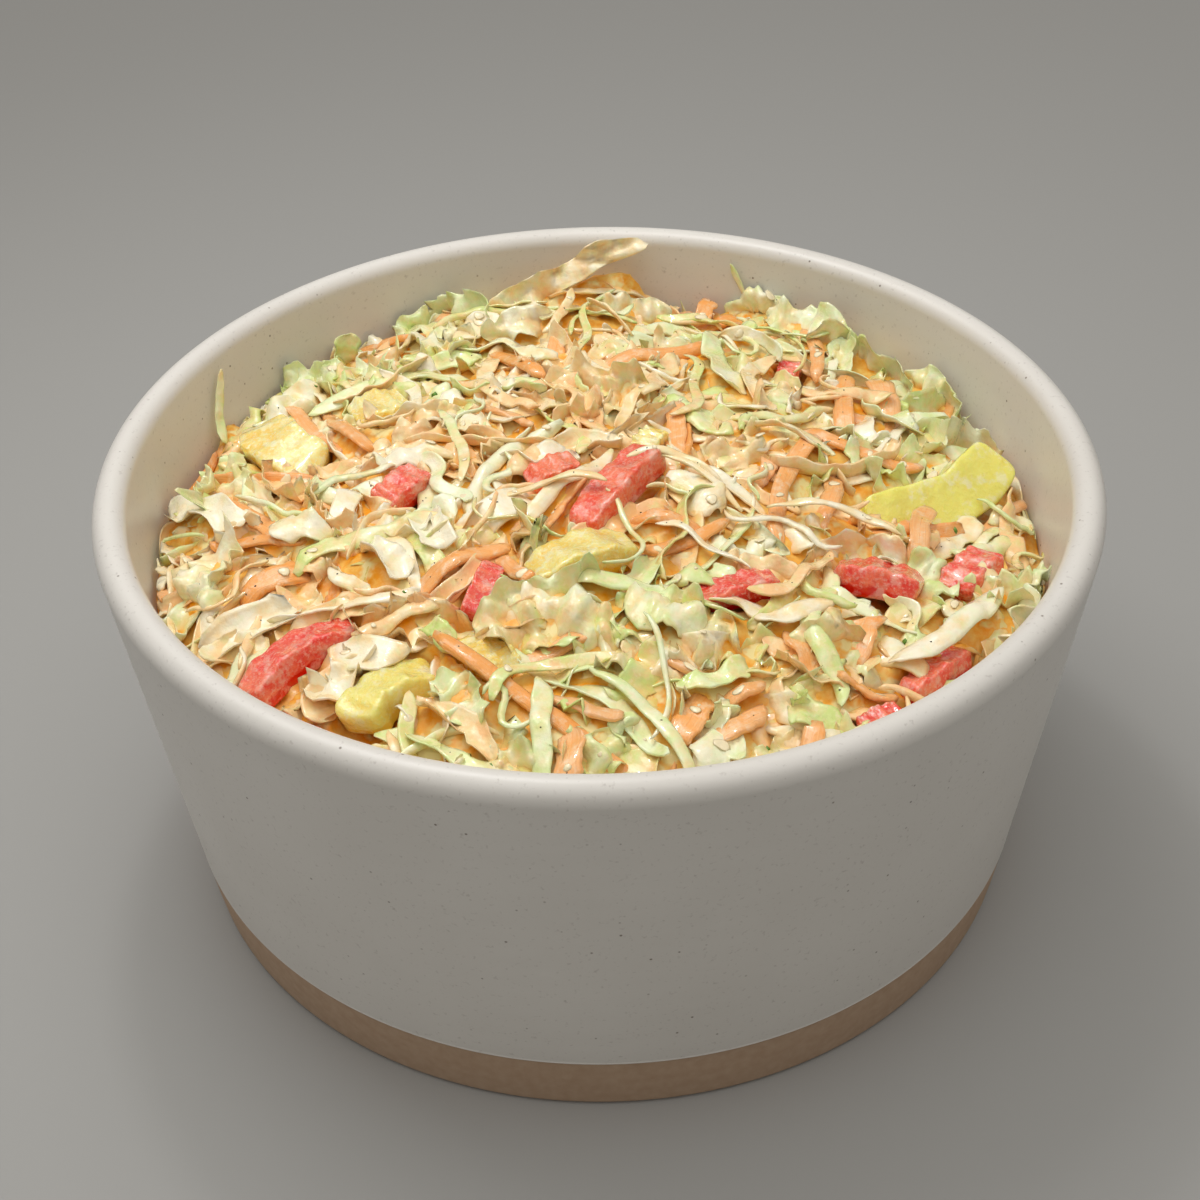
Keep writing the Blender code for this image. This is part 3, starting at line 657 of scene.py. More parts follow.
def scatter(kind, count, order, aim, least=0.3, tries=16):
    # Lays up to count bands, each at the neediest of a few places, none where the heap is full
    courses = layCourses(count, kind, order)
    steps = courses.shape[1]
    half = order.uniform(*kind["width"], count) / 2
    roll = np.radians(order.normal(0, kind["tilt"], (count, 1)))
    roll = roll + np.radians(order.normal(0, kind["twist"], (count, 1))) * np.linspace(-1, 1, steps)
    side = bandFrames(courses, roll)[0]
    radius = heap["scatterR"] * np.sqrt(order.random((count, tries, 1)))
    angle = order.uniform(0, 2 * np.pi, (count, tries, 1))
    kept = []
    for k in range(count):
        x = courses[k, :, 0] + radius[k] * np.cos(angle[k])
        y = courses[k, :, 1] + radius[k] * np.sin(angle[k])
        x, y = keepInside(x, y, 88.0, 0.8)
        need = heapNeed(x, y, aim, kind["shy"])
        best = int(need.argmax())
        if need[best] < least:
            continue
        line = courses[k].copy()
        line[:, 0], line[:, 1] = x[best], y[best]
        line[:, 2] += bareCore(float(line[:, 0].mean()), float(line[:, 1].mean()))
        line[:, 2] += settle(line, side[k], half[k], kind)
        if order.random() < kind["flex"]:
            drape(line, side[k], half[k], kind)
        raiseHeap(line, side[k], half[k], kind["thick"])
        courses[k] = line
        kept.append(k)
    return courses[kept], half[kept], roll[kept]


def planeWaves(shortest, longest, seed):
    # Nine random directions with wavelengths between the two, in mm, and their phases
    draw = np.random.default_rng(seed)
    ways = draw.normal(0, 1, (9, 3))
    ways /= np.linalg.norm(ways, axis=1, keepdims=True)
    return ways * 2 * np.pi / draw.uniform(shortest, longest, (9, 1)), draw.uniform(0, 2 * np.pi, 9)


coarseWaves = planeWaves(6.0, 14.0, 3)
fineWaves = planeWaves(2.6, 5.5, 4)


def crumple(points, shift, waves):
    # Uneven lumps: the sum of nine plane waves over the square root of nine
    return sum(np.sin(points @ way + phase + shift) for way, phase in zip(*waves)) / 3


def bandPoints(courses, half, roll, kind, order):
    # A thin closed band round each line. Across it, v in [-1, 1], its height is
    # frill sin(rate s + p) |v|^1.5 sign v + cup (v^2 - 1/3) + ribs sin(3 pi v)
    count, steps = courses.shape[:2]
    s = np.linspace(-1, 1, steps)[None, :, None]
    v = np.sin(np.linspace(-np.pi / 2, np.pi / 2, kind["across"]))[None, None, :]
    side, up, tangent = bandFrames(courses, roll)
    phase = order.uniform(0, 2 * np.pi, (7, count, 1, 1))
    rate = kind["frillRate"] * order.uniform(0.75, 1.3, (count, 1, 1))
    taper = np.clip((1 - np.abs(s)) / kind["pointed"], 0, 1) ** 0.7
    taper = kind["endWidth"] + (1 - kind["endWidth"]) * taper
    ragged = 1 + kind["ragged"] * (np.sin(5 * s + phase[0] + v) + 0.6 * np.sin(11 * s + phase[1] + 2 * v))
    widthHere = half[:, None, None] * taper * ragged
    edge = np.abs(v) ** 1.5 * np.sign(v + 1e-6)
    warped = s + 0.16 * np.sin(2.7 * s + phase[1]) + 0.05 * v
    swell = 0.35 + 0.65 * np.sin(1.9 * s + phase[0]) ** 2
    frill = kind["frill"] * swell * (np.sin(rate * warped + phase[2]) * edge
                                     + 0.6 * np.sin(1.6 * rate * warped + phase[3]) * v * v)
    middle = courses[:, :, None, :] + side[:, :, None, :] * (widthHere * v)[..., None]
    frill = frill + kind["crumple"] * crumple(middle, phase[6], coarseWaves)
    frill = frill + kind["pucker"] * crumple(middle, phase[5], fineWaves)
    cup = kind["cup"] * order.normal(0.3, 1, (count, 1, 1)) * (v * v - 0.33)
    ribs = kind["ribs"] * np.sin(3 * np.pi * v + phase[4] + 2 * s)
    height = (frill + cup * half[:, None, None] + ribs) * np.minimum(half[:, None, None] / 2.5, 1.3)
    thick = kind["thick"] / 2 * np.sqrt(1 - (0.5 + kind["edgeThin"]) * v * v) * (0.35 + 0.65 * taper)
    thick = thick * (1 + 0.25 * np.sin(6 * s + phase[5] + 2 * v))
    outV = np.concatenate([widthHere * v, (widthHere * v)[..., ::-1]], 2)
    outH = np.concatenate([height + thick, (height - thick)[..., ::-1]], 2)
    # The knife cuts the ends aslant: both end parts are pushed along the band in step with v
    cut = kind["slant"] * order.uniform(-1, 1, (2, count, 1, 1))
    cut = np.where(s > 0, cut[0], cut[1]) * np.clip(np.abs(s) * 1.6 - 0.6, 0, 1)
    points = courses[:, :, None, :] + side[:, :, None, :] * outV[..., None]
    points = points + up[:, :, None, :] * outH[..., None]
    points = points + tangent[:, :, None, :] * (cut * outV)[..., None]
    x, y = keepInside(points[..., 0], points[..., 1], np.minimum(points[..., 2], 104))
    points = np.stack([x, y, np.minimum(points[..., 2], heap["highest"])], 3)
    lines = np.broadcast_to(np.concatenate([v, v[..., ::-1]], 2), outV.shape)
    return points, np.broadcast_to(s, outV.shape), lines


topSpots = []


def noteSpots(points, across):
    # Middle points of the upper faces that look up and lie near the heap's top, with normals
    row = across // 2
    here = points[:, 2:-2, row]
    along = points[:, 3:-1, row] - points[:, 1:-3, row]
    over = points[:, 2:-2, row + 1] - points[:, 2:-2, row - 1]
    normal = np.cross(along, over).reshape(-1, 3)
    normal /= np.linalg.norm(normal, axis=1, keepdims=True) + 1e-9
    here = here.reshape(-1, 3)
    normal *= np.sign(normal[:, 2:] + 1e-9)
    facesUp = (normal[:, 2] > 0.4) & (here[:, 2] > topGrid[cellOf(here[:, 0], here[:, 1])] - 0.9)
    topSpots.append(np.concatenate([here[facesUp], normal[facesUp]], 1))


def makeBands(name, kind, courses, half, roll, tint, green, order, material, slot):
    # All bands of a kind as one mesh, each with its own tint and green share
    points, s, v = bandPoints(courses, half, roll, kind, order)
    count, steps, around = points.shape[:3]
    if kind["across"] > 3:
        noteSpots(points, kind["across"])
    quads, caps = tubeFaces(count, steps, around)
    lean = order.choice([-1, 1], (count, 1, 1)) * s * 0.3 + 0.25 * (np.abs(v) ** 2 - 0.5)
    green = green[:, None, None]
    level = levelGrid[cellOf(points[..., 0], points[..., 1])]
    made = buildMesh(name, points * mm, quads[:, ::-1], caps[:, ::-1], {
        "tint": np.broadcast_to(tint[:, None, None], s.shape),
        "green": np.clip(green + lean * (green > 0.02), 0, 1),
        "across": v,
        # depth: how far a point lies under the heap's level; the cabbage material paints shade by it
        "depth": np.clip((level + 0.2 - points[..., 2]) / heap["paintedShadeDepth"], 0, 1)})
    dress(made, material, "slaw")
    print(name, count, "pieces", len(quads) * 2, "triangles")


# The kinds of shred: a column each, in mm where the note says nothing else
kindNames = ("sheet", "stalk", "shred", "strand", "frill", "leaf", "carrot")
kindValues = {
    "stations": (18, 12, 24, 18, 30, 38, 16),  # points along a piece
    "across": (7, 6, 5, 3, 8, 16, 5),  # points across it, on each face
    "length": ((13, 28), (10, 22), (22, 50), (16, 40), (16, 34), (18, 32), (10, 36)),
    "width": ((5.0, 10.0), (4.0, 8.0), (2.4, 5.4), (1.1, 2.2), (6.0, 13.0), (10, 16), (2.4, 5.0)),
    "thick": (1.0, 1.5, 0.95, 1.0, 1.0, 1.1, 1.7),
    "bend": (0.3, 0.2, 0.55, 0.8, 0.6, 0.4, 0.28),  # one curve to the side, in radians
    "wiggle": (0.15, 0.1, 0.3, 0.5, 0.4, 0.2, 0.1),  # small curves to the side
    "tip": (0.16, 0.2, 0.12, 0.12, 0.16, 0.16, 0.12),  # lean of the whole piece
    "arc": (0.4, 0.3, 0.35, 0.4, 0.45, 0.3, 0.3),  # curve up or down
    "tilt": (20, 24, 26, 40, 28, 22, 24),  # roll about its length, in degrees
    "twist": (20, 12, 34, 40, 26, 20, 18),  # more roll from end to end
    "settle": (0.8, 0.85, 0.75, 0.75, 0.75, 0.75, 0.75),  # the share of a piece that lies clear of the heap
    "over": (1.4, 1.6, 1.8, 2.2, 1.2, 1.0, 1.8),  # the highest that it may lie over the heap round it
    "flex": (0.8, 0.0, 1.0, 1.0, 0.8, 0.5, 0.7),  # the share of pieces that drape
    "stiff": (26, 60, 16, 12, 14, 16, 30),  # the tightest radius that they drape to
    "sink": (0.2, 0.2, 0.1, 0.1, 0.2, 0.2, 0.2),  # how far a draped piece sinks in
    "pointed": (0.16, 0.15, 0.3, 0.3, 0.35, 0.3, 0.15),  # the share of its half length that tapers
    "endWidth": (0.4, 0.5, 0.3, 0.35, 0.3, 0.3, 0.5),  # width of the cut ends, as a share
    "ragged": (0.16, 0.08, 0.13, 0.15, 0.17, 0.15, 0.1),  # waver of the edges, as a share
    "frill": (0.5, 0.2, 0.4, 0.2, 1.4, 1.4, 0.1),  # height of the waves at the edges
    "frillRate": (4, 4, 6, 7, 11, 9, 5),  # how many waves
    "crumple": (0.7, 0.35, 0.55, 0.4, 1.3, 1.5, 0.2),  # height of lumps 6 to 14 mm long
    "pucker": (0.15, 0.12, 0.15, 0.15, 0.9, 1.1, 0.12),  # height of lumps 2.6 to 5.5 mm long
    "cup": (0.35, 0.2, 0.3, 0.0, 0.4, 0.25, 0.08),  # hollow across it, as a share of the half width
    "ribs": (0.06, 0.12, 0.05, 0.0, 0.1, 0.2, 0.14),  # height of ribs along it
    "edgeThin": (0.3, 0.3, 0.3, 0.3, 0.2, 0.2, 0.25),  # how much thinner the edges are
    "shy": (30, 30, 30, 3, 30, 30, 30),  # how strongly it keeps off the pepper
    "slant": (1.1, 0.8, 1.6, 1.5, 0.9, 0.5, 1.3),  # how slantwise the ends are cut
}
shredKinds = {name: {key: row[k] for key, row in kindValues.items()}
              for k, name in enumerate(kindNames)}


# Pieces that stand out, as x, y, heading, length, width, bow, rise of the far end, tint, green
carrotHeroes = [
    (-14.5, -76.5, 142, 56, 3.8, 1, 7.5, 0.15, 0),
    (-7, -90, 82, 14, 6.0, 0, 1.0, 0.8, 0),
    (-88, -4, -45, 36, 4.6, 2, 1.0, 0.3, 0),
    (-76, -30, 26, 17, 6.0, 1, 0.5, 0.2, 0),
    (-33, -34, 33, 26, 5.0, 1, 2.0, 0.4, 0),
    (-65, 37, -63, 34, 4.4, -2, 1.0, 0.5, 0),
    (-58, 85, -5, 20, 3.4, 1, 1.0, 0.2, 0),
    (-11, 80, 86, 34, 5.0, -1, 5.0, 0.7, 0),
    (-22, 60, -60, 28, 4.2, 1, 1.5, 0.2, 0),
    (16, 62, 20, 34, 4.4, 1, 1.5, 0.3, 0),
    (31, 96, 66, 17, 5.0, 0, 6.0, 0.2, 0),
    (36, 92, 26, 22, 5.0, 1, 1.5, 0.1, 0),
    (20, 22, 88, 22, 5.0, 0, 4.0, 0.5, 0),
    (15, -19, -19, 16, 3.4, 1, 1.0, 0.3, 0),
    (49, -2, 71, 46, 4.4, 4, 4.0, 0.5, 0),
    (66, 38, 84, 40, 5.0, 2, 3.0, 0.4, 0),
    (75, 42, 87, 26, 7.0, -1, 3.0, 0.8, 0),
    (55, -6, 73, 22, 5.0, -1, 1.0, 0.5, 0),
    (77, -18, 77, 26, 5.0, 1, 3.0, 0.7, 0),
    (58, -54, 67, 13, 7.0, 0, 1.5, 0.6, 0),
    (19, -80, 61, 14, 6.5, 0, 1.5, 0.4, 0),
    (29, -82, 31, 14, 5.0, 0, 1.0, 0.6, 0),
]
cabbageHeroes = [
    (48, 98, -32, 26, 4.0, 1, 5.0, 0.6, 0.4),
    (25, -4, -35, 36, 3.6, 3, 2.0, 0.8, 0),
    (73, 80, 10, 24, 5.0, 3, 3.0, 0.5, 0.5),
    (88, 62, -30, 24, 5.0, -3, 4.0, 0.5, 0.4),
]
chipHeroes = [
    (-62, -8, 75, 17, 6.0, 0, 2.0, 0.9, 0),
    (-80, -44, 25, 22, 9.0, 1, 1.0, 0.9, 0),
    (-54, -58, -12, 20, 9.0, 0, 1.0, 0.9, 0),
    (-24, -14, 35, 20, 9.0, 0, 3.0, 1.0, 0),
    (-40, -18, -65, 16, 8.0, 0, 2.0, 1.0, 0),
    (65, -58, -30, 15, 9.0, 0, 2.0, 0.8, 0.3),
]
# Pieces along a curve from a to c, pulled towards b: three points as x, y and height over
# the bare core, then width, roll, tint, green
curvedSheets = [
    (-108, 6, 5, -98, 2, 8, -86, -8, 5, 7.5, 12, 1.0, 0.0),
    (-56, -24, 6, -50, -28, 8, -44, -34, 5, 8.0, -15, 0.9, 0.0),
    (-78, -12, 6, -72, -16, 8, -64, -14, 6, 8.0, 20, 0.8, 0.1),
]
curvedFrills = [
    (-22, -44, 4, -8, -52, 10, 4, -60, 4, 13.0, 20, 0.7, 0.4),
    (6, -46, 4, 16, -56, 10, 28, -56, 4, 13.0, -15, 0.6, 0.6),
    (-6, -66, 4, 6, -60, 8, 18, -70, 4, 11.0, 10, 0.7, 0.3),
    (-94, -8, 5, -88, -18, 9, -92, -30, 4, 11.0, 35, 0.8, 0.3),
    (-88, 40, 4, -80, 50, 8, -72, 60, 4, 10.0, 20, 0.7, 0.3),
    (-32, 94, 6, -14, 99, 16, 14, 107, 27, 7.5, 50, 0.55, 0.1),
    (-46, 98, 4, -42, 101, 15, -30, 88, 8, 11.0, 50, 0.6, 0.8),
    (40, 100, 5, 43, 104, 20, 56, 92, 9, 8.0, 40, 0.6, 0.7),
    (48, 88, 8, 60, 84, 14, 72, 66, 7, 12.0, 30, 0.7, 0.7),
    (60, 72, 7, 72, 70, 11, 84, 52, 5, 10.0, 45, 0.6, 0.6),
    (84, 60, 3, 92, 56, 14, 96, 44, 4, 9.0, 60, 0.6, 0.7),
    (-86, 70, 5, -72, 66, 8, -50, 54, 4, 9.0, 20, 0.6, 0.9),
    (-36, -69, 6, -30, -74, 8, -26, -82, 4, 9.0, 25, 0.5, 0.95),
    (-100, 20, 4, -102, 8, 10, -98, -2, 4, 9.0, 50, 0.5, 0.6),
    (-99, -16, 4, -98, -26, 8, -88, -38, 4, 9.0, 30, 0.7, 0.4),
    (-30, 78, 6, -22, 84, 10, -10, 86, 7, 9.0, 40, 0.7, 0.3),
    (-4, 92, 6, 8, 96, 10, 22, 94, 7, 9.0, 50, 0.7, 0.1),
]
curvedShreds = [
    (33, 72, 6, 28, 56, 11, 38, 40, 6, 6.5, -30, 0.6, 0.7),
    (34, 73, 6, 46, 76, 14, 50, 60, 7, 4.0, 60, 0.7, 0.3),
    (-98, 38, 5, -101, 46, 14, -99, 50, 21, 3.0, 20, 0.6, 0.7),
    (-70, 74, 4, -71, 76, 8, -67, 77, 13, 7.0, 80, 0.3, 1.0),
    (64, -64, 6, 78, -58, 10, 92, -40, 9, 5.5, 10, 0.9, 0.2),
    (-38, -52, 5, -37, -55, 9, -32, -60, 5, 5.0, 30, 0.0, 1.0),
    (2, -10, 9, -8, -4, 11, -24, -10, 6, 2.2, 0, 0.6, 0.0),
    (7, 2, 9, 16, 8, 12, 30, -6, 6, 2.4, 20, 0.7, 0.0),
    (10, 4, 9, 20, 5, 11, 34, -14, 5, 1.8, 0, 0.6, 0.1),
    (48, 98, 5, 44, 104, 14, 40, 105, 22, 3.0, 30, 0.5, 0.6),
    (-14, 78, 7, -8, 84, 12, -6, 92, 16, 2.6, 20, 0.5, 0.0),
    (10, 76, 7, 6, 84, 12, -2, 88, 15, 2.6, 60, 0.4, 0.0),
    (58, 10, 6, 50, 18, 9, 36, 22, 6, 3.0, 30, 0.6, 0.1),
    (70, -24, 8, 58, -12, 11, 40, -14, 6, 2.6, 10, 0.7, 0.0),
]
# Leaves: x, y, heading, length, width, roll, lift, tint, green
leafHeroes = [
    (97, -41, 67, 30, 16, -58, 5.5, 0.6, 0.6),
    (-70, 63, -14, 34, 13, 28, 2.5, 0.7, 0.8),
    (-12, -52, 20, 32, 18, 24, 4.0, 0.4, 0.55),
    (16, -56, -25, 30, 18, 26, 3.0, 0.4, 0.65),
    (44, -62, 12, 30, 16, 22, 2.5, 0.3, 0.4),
    (62, 84, -34, 26, 15, 34, 3.5, 0.5, 0.5),
    (-46, 92, 8, 22, 12, 36, 3.5, 0.6, 0.7),
    (-94, 18, -70, 26, 13, 30, 2.5, 0.5, 0.6),
    (-40, 30, 30, 28, 16, 24, 3.0, 0.3, 0.2),
    (0, 40, -10, 28, 16, 24, 3.0, 0.3, 0.1),
    (40, 14, 40, 26, 14, 24, 3.0, 0.4, 0.3),
    (-20, -92, 5, 24, 12, 22, 2.0, 0.6, 0.6),
]


def layHeroes(courses, half, roll, table, kind, mostRise):
    # Lifts each piece to the heap under it, by mostRise mm at most, and adds it to the heap
    side = bandFrames(courses, roll)[0]
    for k, line in enumerate(courses):
        line[:, 2] += np.clip(settle(line, side[k], half[k], kind), 0, mostRise)
        raiseHeap(line, side[k], half[k], kind["thick"])
    return courses, half, roll, table[:, -2], table[:, -1]


def heroBands(pieces, kind, order):
    # Middle line of a piece: an arch over the heap, bowed sideways, its far end rising free
    table = np.array(pieces, dtype=float)
    x, y, heading, length, width, bow, rise = table[:, :7].T[..., None]
    s = np.linspace(-1, 1, kind["stations"])[None, :]
    turn = np.radians(heading)
    aside = bow * (1 - s * s) + kind["wiggle"] * np.sin(2.6 * s + x)
    px = x + np.cos(turn) * s * length / 2 - np.sin(turn) * aside
    py = y + np.sin(turn) * s * length / 2 + np.cos(turn) * aside
    arch = order.uniform(1.8, 3.2, x.shape)
    pz = bareCore(px, py) + kind["thick"] / 2 + 1.0 + arch * (1 - s * s) + rise * ((s + 1) / 2) ** 2
    roll = np.radians(order.uniform(-20, 20, x.shape) + order.uniform(-16, 16, x.shape) * s)
    return layHeroes(np.stack([px, py, pz], 2), width[:, 0] / 2, roll, table, kind, 4.5)


def heroCurves(pieces, kind):
    # Middle line (1 - t)^2 a + 2 t (1 - t) b + t^2 c, at its own height over the bare core
    table = np.array(pieces, dtype=float)
    t = np.linspace(0, 1, kind["stations"])[None, :, None]
    a, b, c = (table[:, None, k:k + 3] for k in (0, 3, 6))
    courses = (1 - t) ** 2 * a + 2 * t * (1 - t) * b + t * t * c
    courses[..., 2] += bareCore(courses[..., 0], courses[..., 1])
    roll = np.radians(table[:, 10:11] + 12 * np.linspace(-1, 1, kind["stations"]))
    return layHeroes(courses, table[:, 9] / 2, roll, table, kind, 3.0)


def heroLeaves(pieces, kind):
    # Straight middle lines that wave up and down; the leaves lie rolled about their length
    table = np.array(pieces, dtype=float)
    x, y, heading, length, width, leafRoll, lift = table[:, :7].T[..., None]
    s = np.linspace(-1, 1, kind["stations"])[None, :]
    turn = np.radians(heading)
    px = x + np.cos(turn) * s * length / 2
    py = y + np.sin(turn) * s * length / 2
    pz = bareCore(x, y) + lift + 1.2 * np.sin(2.4 * s + x) + 0.6
    roll = np.radians(leafRoll + 12 * s)
    return layHeroes(np.stack([px, py, pz], 2), width[:, 0] / 2, roll, table, kind, 3.0)


# Greener patches of the heap: x, y, reach in mm
greenPatches = [
    (62, 78, 34), (-40, 92, 22), (-95, 20, 22), (-70, 62, 22), (5, -55, 34), (100, -30, 26), (-15, -92, 22),
    (70, -70, 26), (95, 40, 26),
]


def greenAt(paths, order):
    # A piece is green by a chance of 0.32, up to 0.92 where the patches' Gaussians add up
    x, y = paths[:, :, 0].mean(1), paths[:, :, 1].mean(1)
    near = sum(np.exp(-((x - a) ** 2 + (y - b) ** 2) / r**2) for a, b, r in greenPatches)
    chance = 0.32 + 0.6 * np.clip(near, 0, 1)
    return np.where(order.random(len(x)) < chance, order.uniform(0.4, 1.0, len(x)), 0.0)


cabbageColours = {
    "low": "#FFCC90",
    "middle": "#FFE2A8",
    "high": "#FFF6DA",
    "leafLow": "#D0E884",
    "leafHigh": "#EEF8C8",
    "film": "#FFEEC2",
    # The last colour is painted shade, the warm orange laid where the bands lie deep
    "paintedShade": "#FCB030",
}


def freshCabbage(c):
    # White cabbage, knife shredded and tossed in a creamy dressing: crisp, slightly clear, wet.
    # It gives the eye cream to leaf-green bands, mottled by the film, with a soft wet gloss.
    material, nodes, shader = newMaterial("shreddedWhiteCabbage")
    coord = objectCoord(nodes)
    cloud, fine = noise(nodes, coord, 190.0), noise(nodes, coord, 650.0, 4.0, 0.6)
    tone = calc(nodes, "ADD", attribute(nodes, "tint"), mapped(nodes, cloud, 0.3, 0.7, -0.45, 0.45), True)
    pale = mixColours(nodes, mapped(nodes, tone, 0.0, 0.5), c["low"], c["middle"])
    pale = mixColours(nodes, mapped(nodes, tone, 0.5, 1.0), pale, c["high"])
    leaf = mixColours(nodes, tone, c["leafLow"], c["leafHigh"])
    greener = mapped(nodes, noise(nodes, coord, 330.0), 0.3, 0.7, -0.4, 0.4)
    greener = calc(nodes, "ADD", attribute(nodes, "green"), greener, True)
    colour = mixColours(nodes, calc(nodes, "MULTIPLY", greener, 0.9), pale, leaf)
    # Creamy film in patches 1 to 3 mm wide
    film = mapped(nodes, noise(nodes, coord, 420.0, 4.0, 0.6), 0.54, 0.68, 0.0, 0.6)
    colour = mixColours(nodes, film, colour, c["film"])
    # Painted shade: warm saturated orange where the band lies deep under the heap's level, standing in for
    # shade and bounced light between pieces
    paintedShade = mapped(nodes, attribute(nodes, "depth"), 0.28, 1.0, 0.0, 0.9)
    height = calc(nodes, "ADD", calc(nodes, "MULTIPLY", cloud, 0.6), calc(nodes, "MULTIPLY", fine, 0.5))
    setShader(shader, {
        "Base Color": mixColours(nodes, paintedShade, colour, c["paintedShade"]),
        "Roughness": mapped(nodes, fine, 0.35, 0.65, 0.2, 0.42),
        "Normal": bumpFrom(nodes, height, 0.0008, 0.7),
        "IOR": 1.4,
        "Specular IOR Level": 0.25,
        "Coat Weight": 0.9,
        "Coat Roughness": 0.07,
    })
    return material


carrotColours = {
    "low": "#FFAE56",
    "high": "#FFC88C",
    "fibre": "#FF9E48",
    "film": "#FFDAB0",
}


def freshCarrot(c):
    # Raw carrot, julienned, with a thin film of dressing.
    # It gives the eye bright orange bands with long fibres, paler where the dressing sits.
    material, nodes, shader = newMaterial("julienneCarrot")
    coord = objectCoord(nodes)
    cloud, fine = noise(nodes, coord, 300.0, 4.0, 0.6), noise(nodes, coord, 1100.0, 3.0, 0.6)
    tone = calc(nodes, "ADD", attribute(nodes, "tint"), mapped(nodes, cloud, 0.3, 0.7, -0.5, 0.5), True)
    # Fibres run along the piece, so their shade depends on the place across it alone
    fibre = addNode(nodes, "ShaderNodeTexNoise", Scale=7.0, Detail=3.0, _noise_dimensions="1D",
                    links=[(attribute(nodes, "across"), "W")]).outputs["Fac"]
    colour = mixColours(nodes, tone, c["low"], c["high"])
    colour = mixColours(nodes, mapped(nodes, fibre, 0.35, 0.6, 0.4, 0.0), colour, c["fibre"])
    film = mapped(nodes, noise(nodes, coord, 380.0, 4.0, 0.6), 0.52, 0.66, 0.0, 0.7)
    height = calc(nodes, "ADD", calc(nodes, "MULTIPLY", fibre, 0.5), calc(nodes, "MULTIPLY", cloud, 0.9))
    height = calc(nodes, "ADD", height, calc(nodes, "MULTIPLY", fine, 0.25))
    setShader(shader, {
        "Base Color": mixColours(nodes, film, colour, c["film"]),
        "Normal": bumpFrom(nodes, height, 0.0008, 0.7),
        "Roughness": 0.28,
        "IOR": 1.4,
        "Specular IOR Level": 0.35,
        "Coat Weight": 0.8,
        "Coat Roughness": 0.07,
    })
    return material


# Dressing and seasoning: small flattened drops and grains set into the upper faces
sprinkles = {
    "dressingDrops": {"count": 140, "wide": (0.5, 2.0), "high": (0.1, 0.3), "around": 10, "rings": 5,
                      "uneven": 0.3},
    "pepperSpecks": {"count": 170, "wide": (0.14, 0.3), "high": (0.12, 0.25), "around": 6, "rings": 3,
                     "uneven": 0.3},
    "herbFlakes": {"count": 16, "wide": (0.5, 1.1), "high": (0.15, 0.25), "around": 6, "rings": 3,
                   "uneven": 0.5},
}


def makeSprinkle(name, c, spots, order, material):
    # Drop surface at angles (t, p): wide sin p (1 + uneven sin(2 t + a) / 2 + uneven sin(3 t + b) / 3)
    # sideways and high cos p along the face's normal
    picked = spots[order.choice(len(spots), c["count"], replace=False)]
    centre, normal = picked[:, None, None, :3], picked[:, 3:]
    side = np.cross(normal, order.normal(0, 1, normal.shape))
    side /= np.linalg.norm(side, axis=1, keepdims=True)
    other = np.cross(normal, side)
    p = np.linspace(0.06, np.pi - 0.06, c["rings"])[None, :, None]
    t = np.linspace(0, 2 * np.pi, c["around"], endpoint=False)[None, None, :]
    wide = order.uniform(*c["wide"], (c["count"], 1, 1))
    high = order.uniform(*c["high"], (c["count"], 1, 1))
    a, b = order.uniform(0, 2 * np.pi, (2, c["count"], 1, 1))
    outline = 1 + c["uneven"] * (np.sin(2 * t + a) / 2 + np.sin(3 * t + b) / 3)
    reach = wide * np.sin(p) * outline
    local = [(reach * np.cos(t), side), (reach * np.sin(t) * 0.8, other), (high * np.cos(p) + 0 * t, normal)]
    points = centre + sum(part[..., None] * way[:, None, None, :] for part, way in local)
    quads, caps = tubeFaces(c["count"], c["rings"], c["around"])
    dress(buildMesh(name, points * mm, quads[:, ::-1], caps[:, ::-1]), material, "slaw")
    print(name, c["count"], "pieces", len(quads) * 2, "triangles")


def plainWet(name, hexColour, roughness, coat, scatter):
    # Dressing, cracked pepper and herb are each one colour with small cloudy changes.
    # The cream catches sharp small lights; the grains stay dark and nearly matt.
    material, nodes, shader = newMaterial(name)
    cloud = mapped(nodes, noise(nodes, objectCoord(nodes), 700.0), 0.3, 0.7, 0.94, 1.06)
    base = addNode(nodes, "ShaderNodeHueSaturation", Color=hexToLinear(hexColour), links=[(cloud, "Value")])
    setShader(shader, {
        "Base Color": base.outputs[0],
        "Roughness": roughness,
        "Coat Weight": coat,
        "Coat Roughness": 0.06,
        "Subsurface Weight": scatter,
        "Subsurface Radius": (1.0, 0.9, 0.8),
        "Subsurface Scale": 0.002,
    })
    return material


# Heights and radii in mm; the side runs from the bowl's floor up to the heap's edge
core = {
    "rings": 90,
    "segments": 256,
    "wallGap": 0.5,
    "edgeTop": 84.0,
    "belowLevel": 2.4,
    "belowBare": 2.5,
    "relief": 0.7,
    "underPepper": 0.3,
    "sideHeights": (9.0, 12.0, 20.0, 30.0, 60.0),
    "footRadii": (84.0, 93.0, 100.0),
    # The orange and the yellow are painted shade for the gaps; the last is a paler cream patch
    "colours": ("#F39C0C", "#F8CE70", "#F4E2A0"),
}


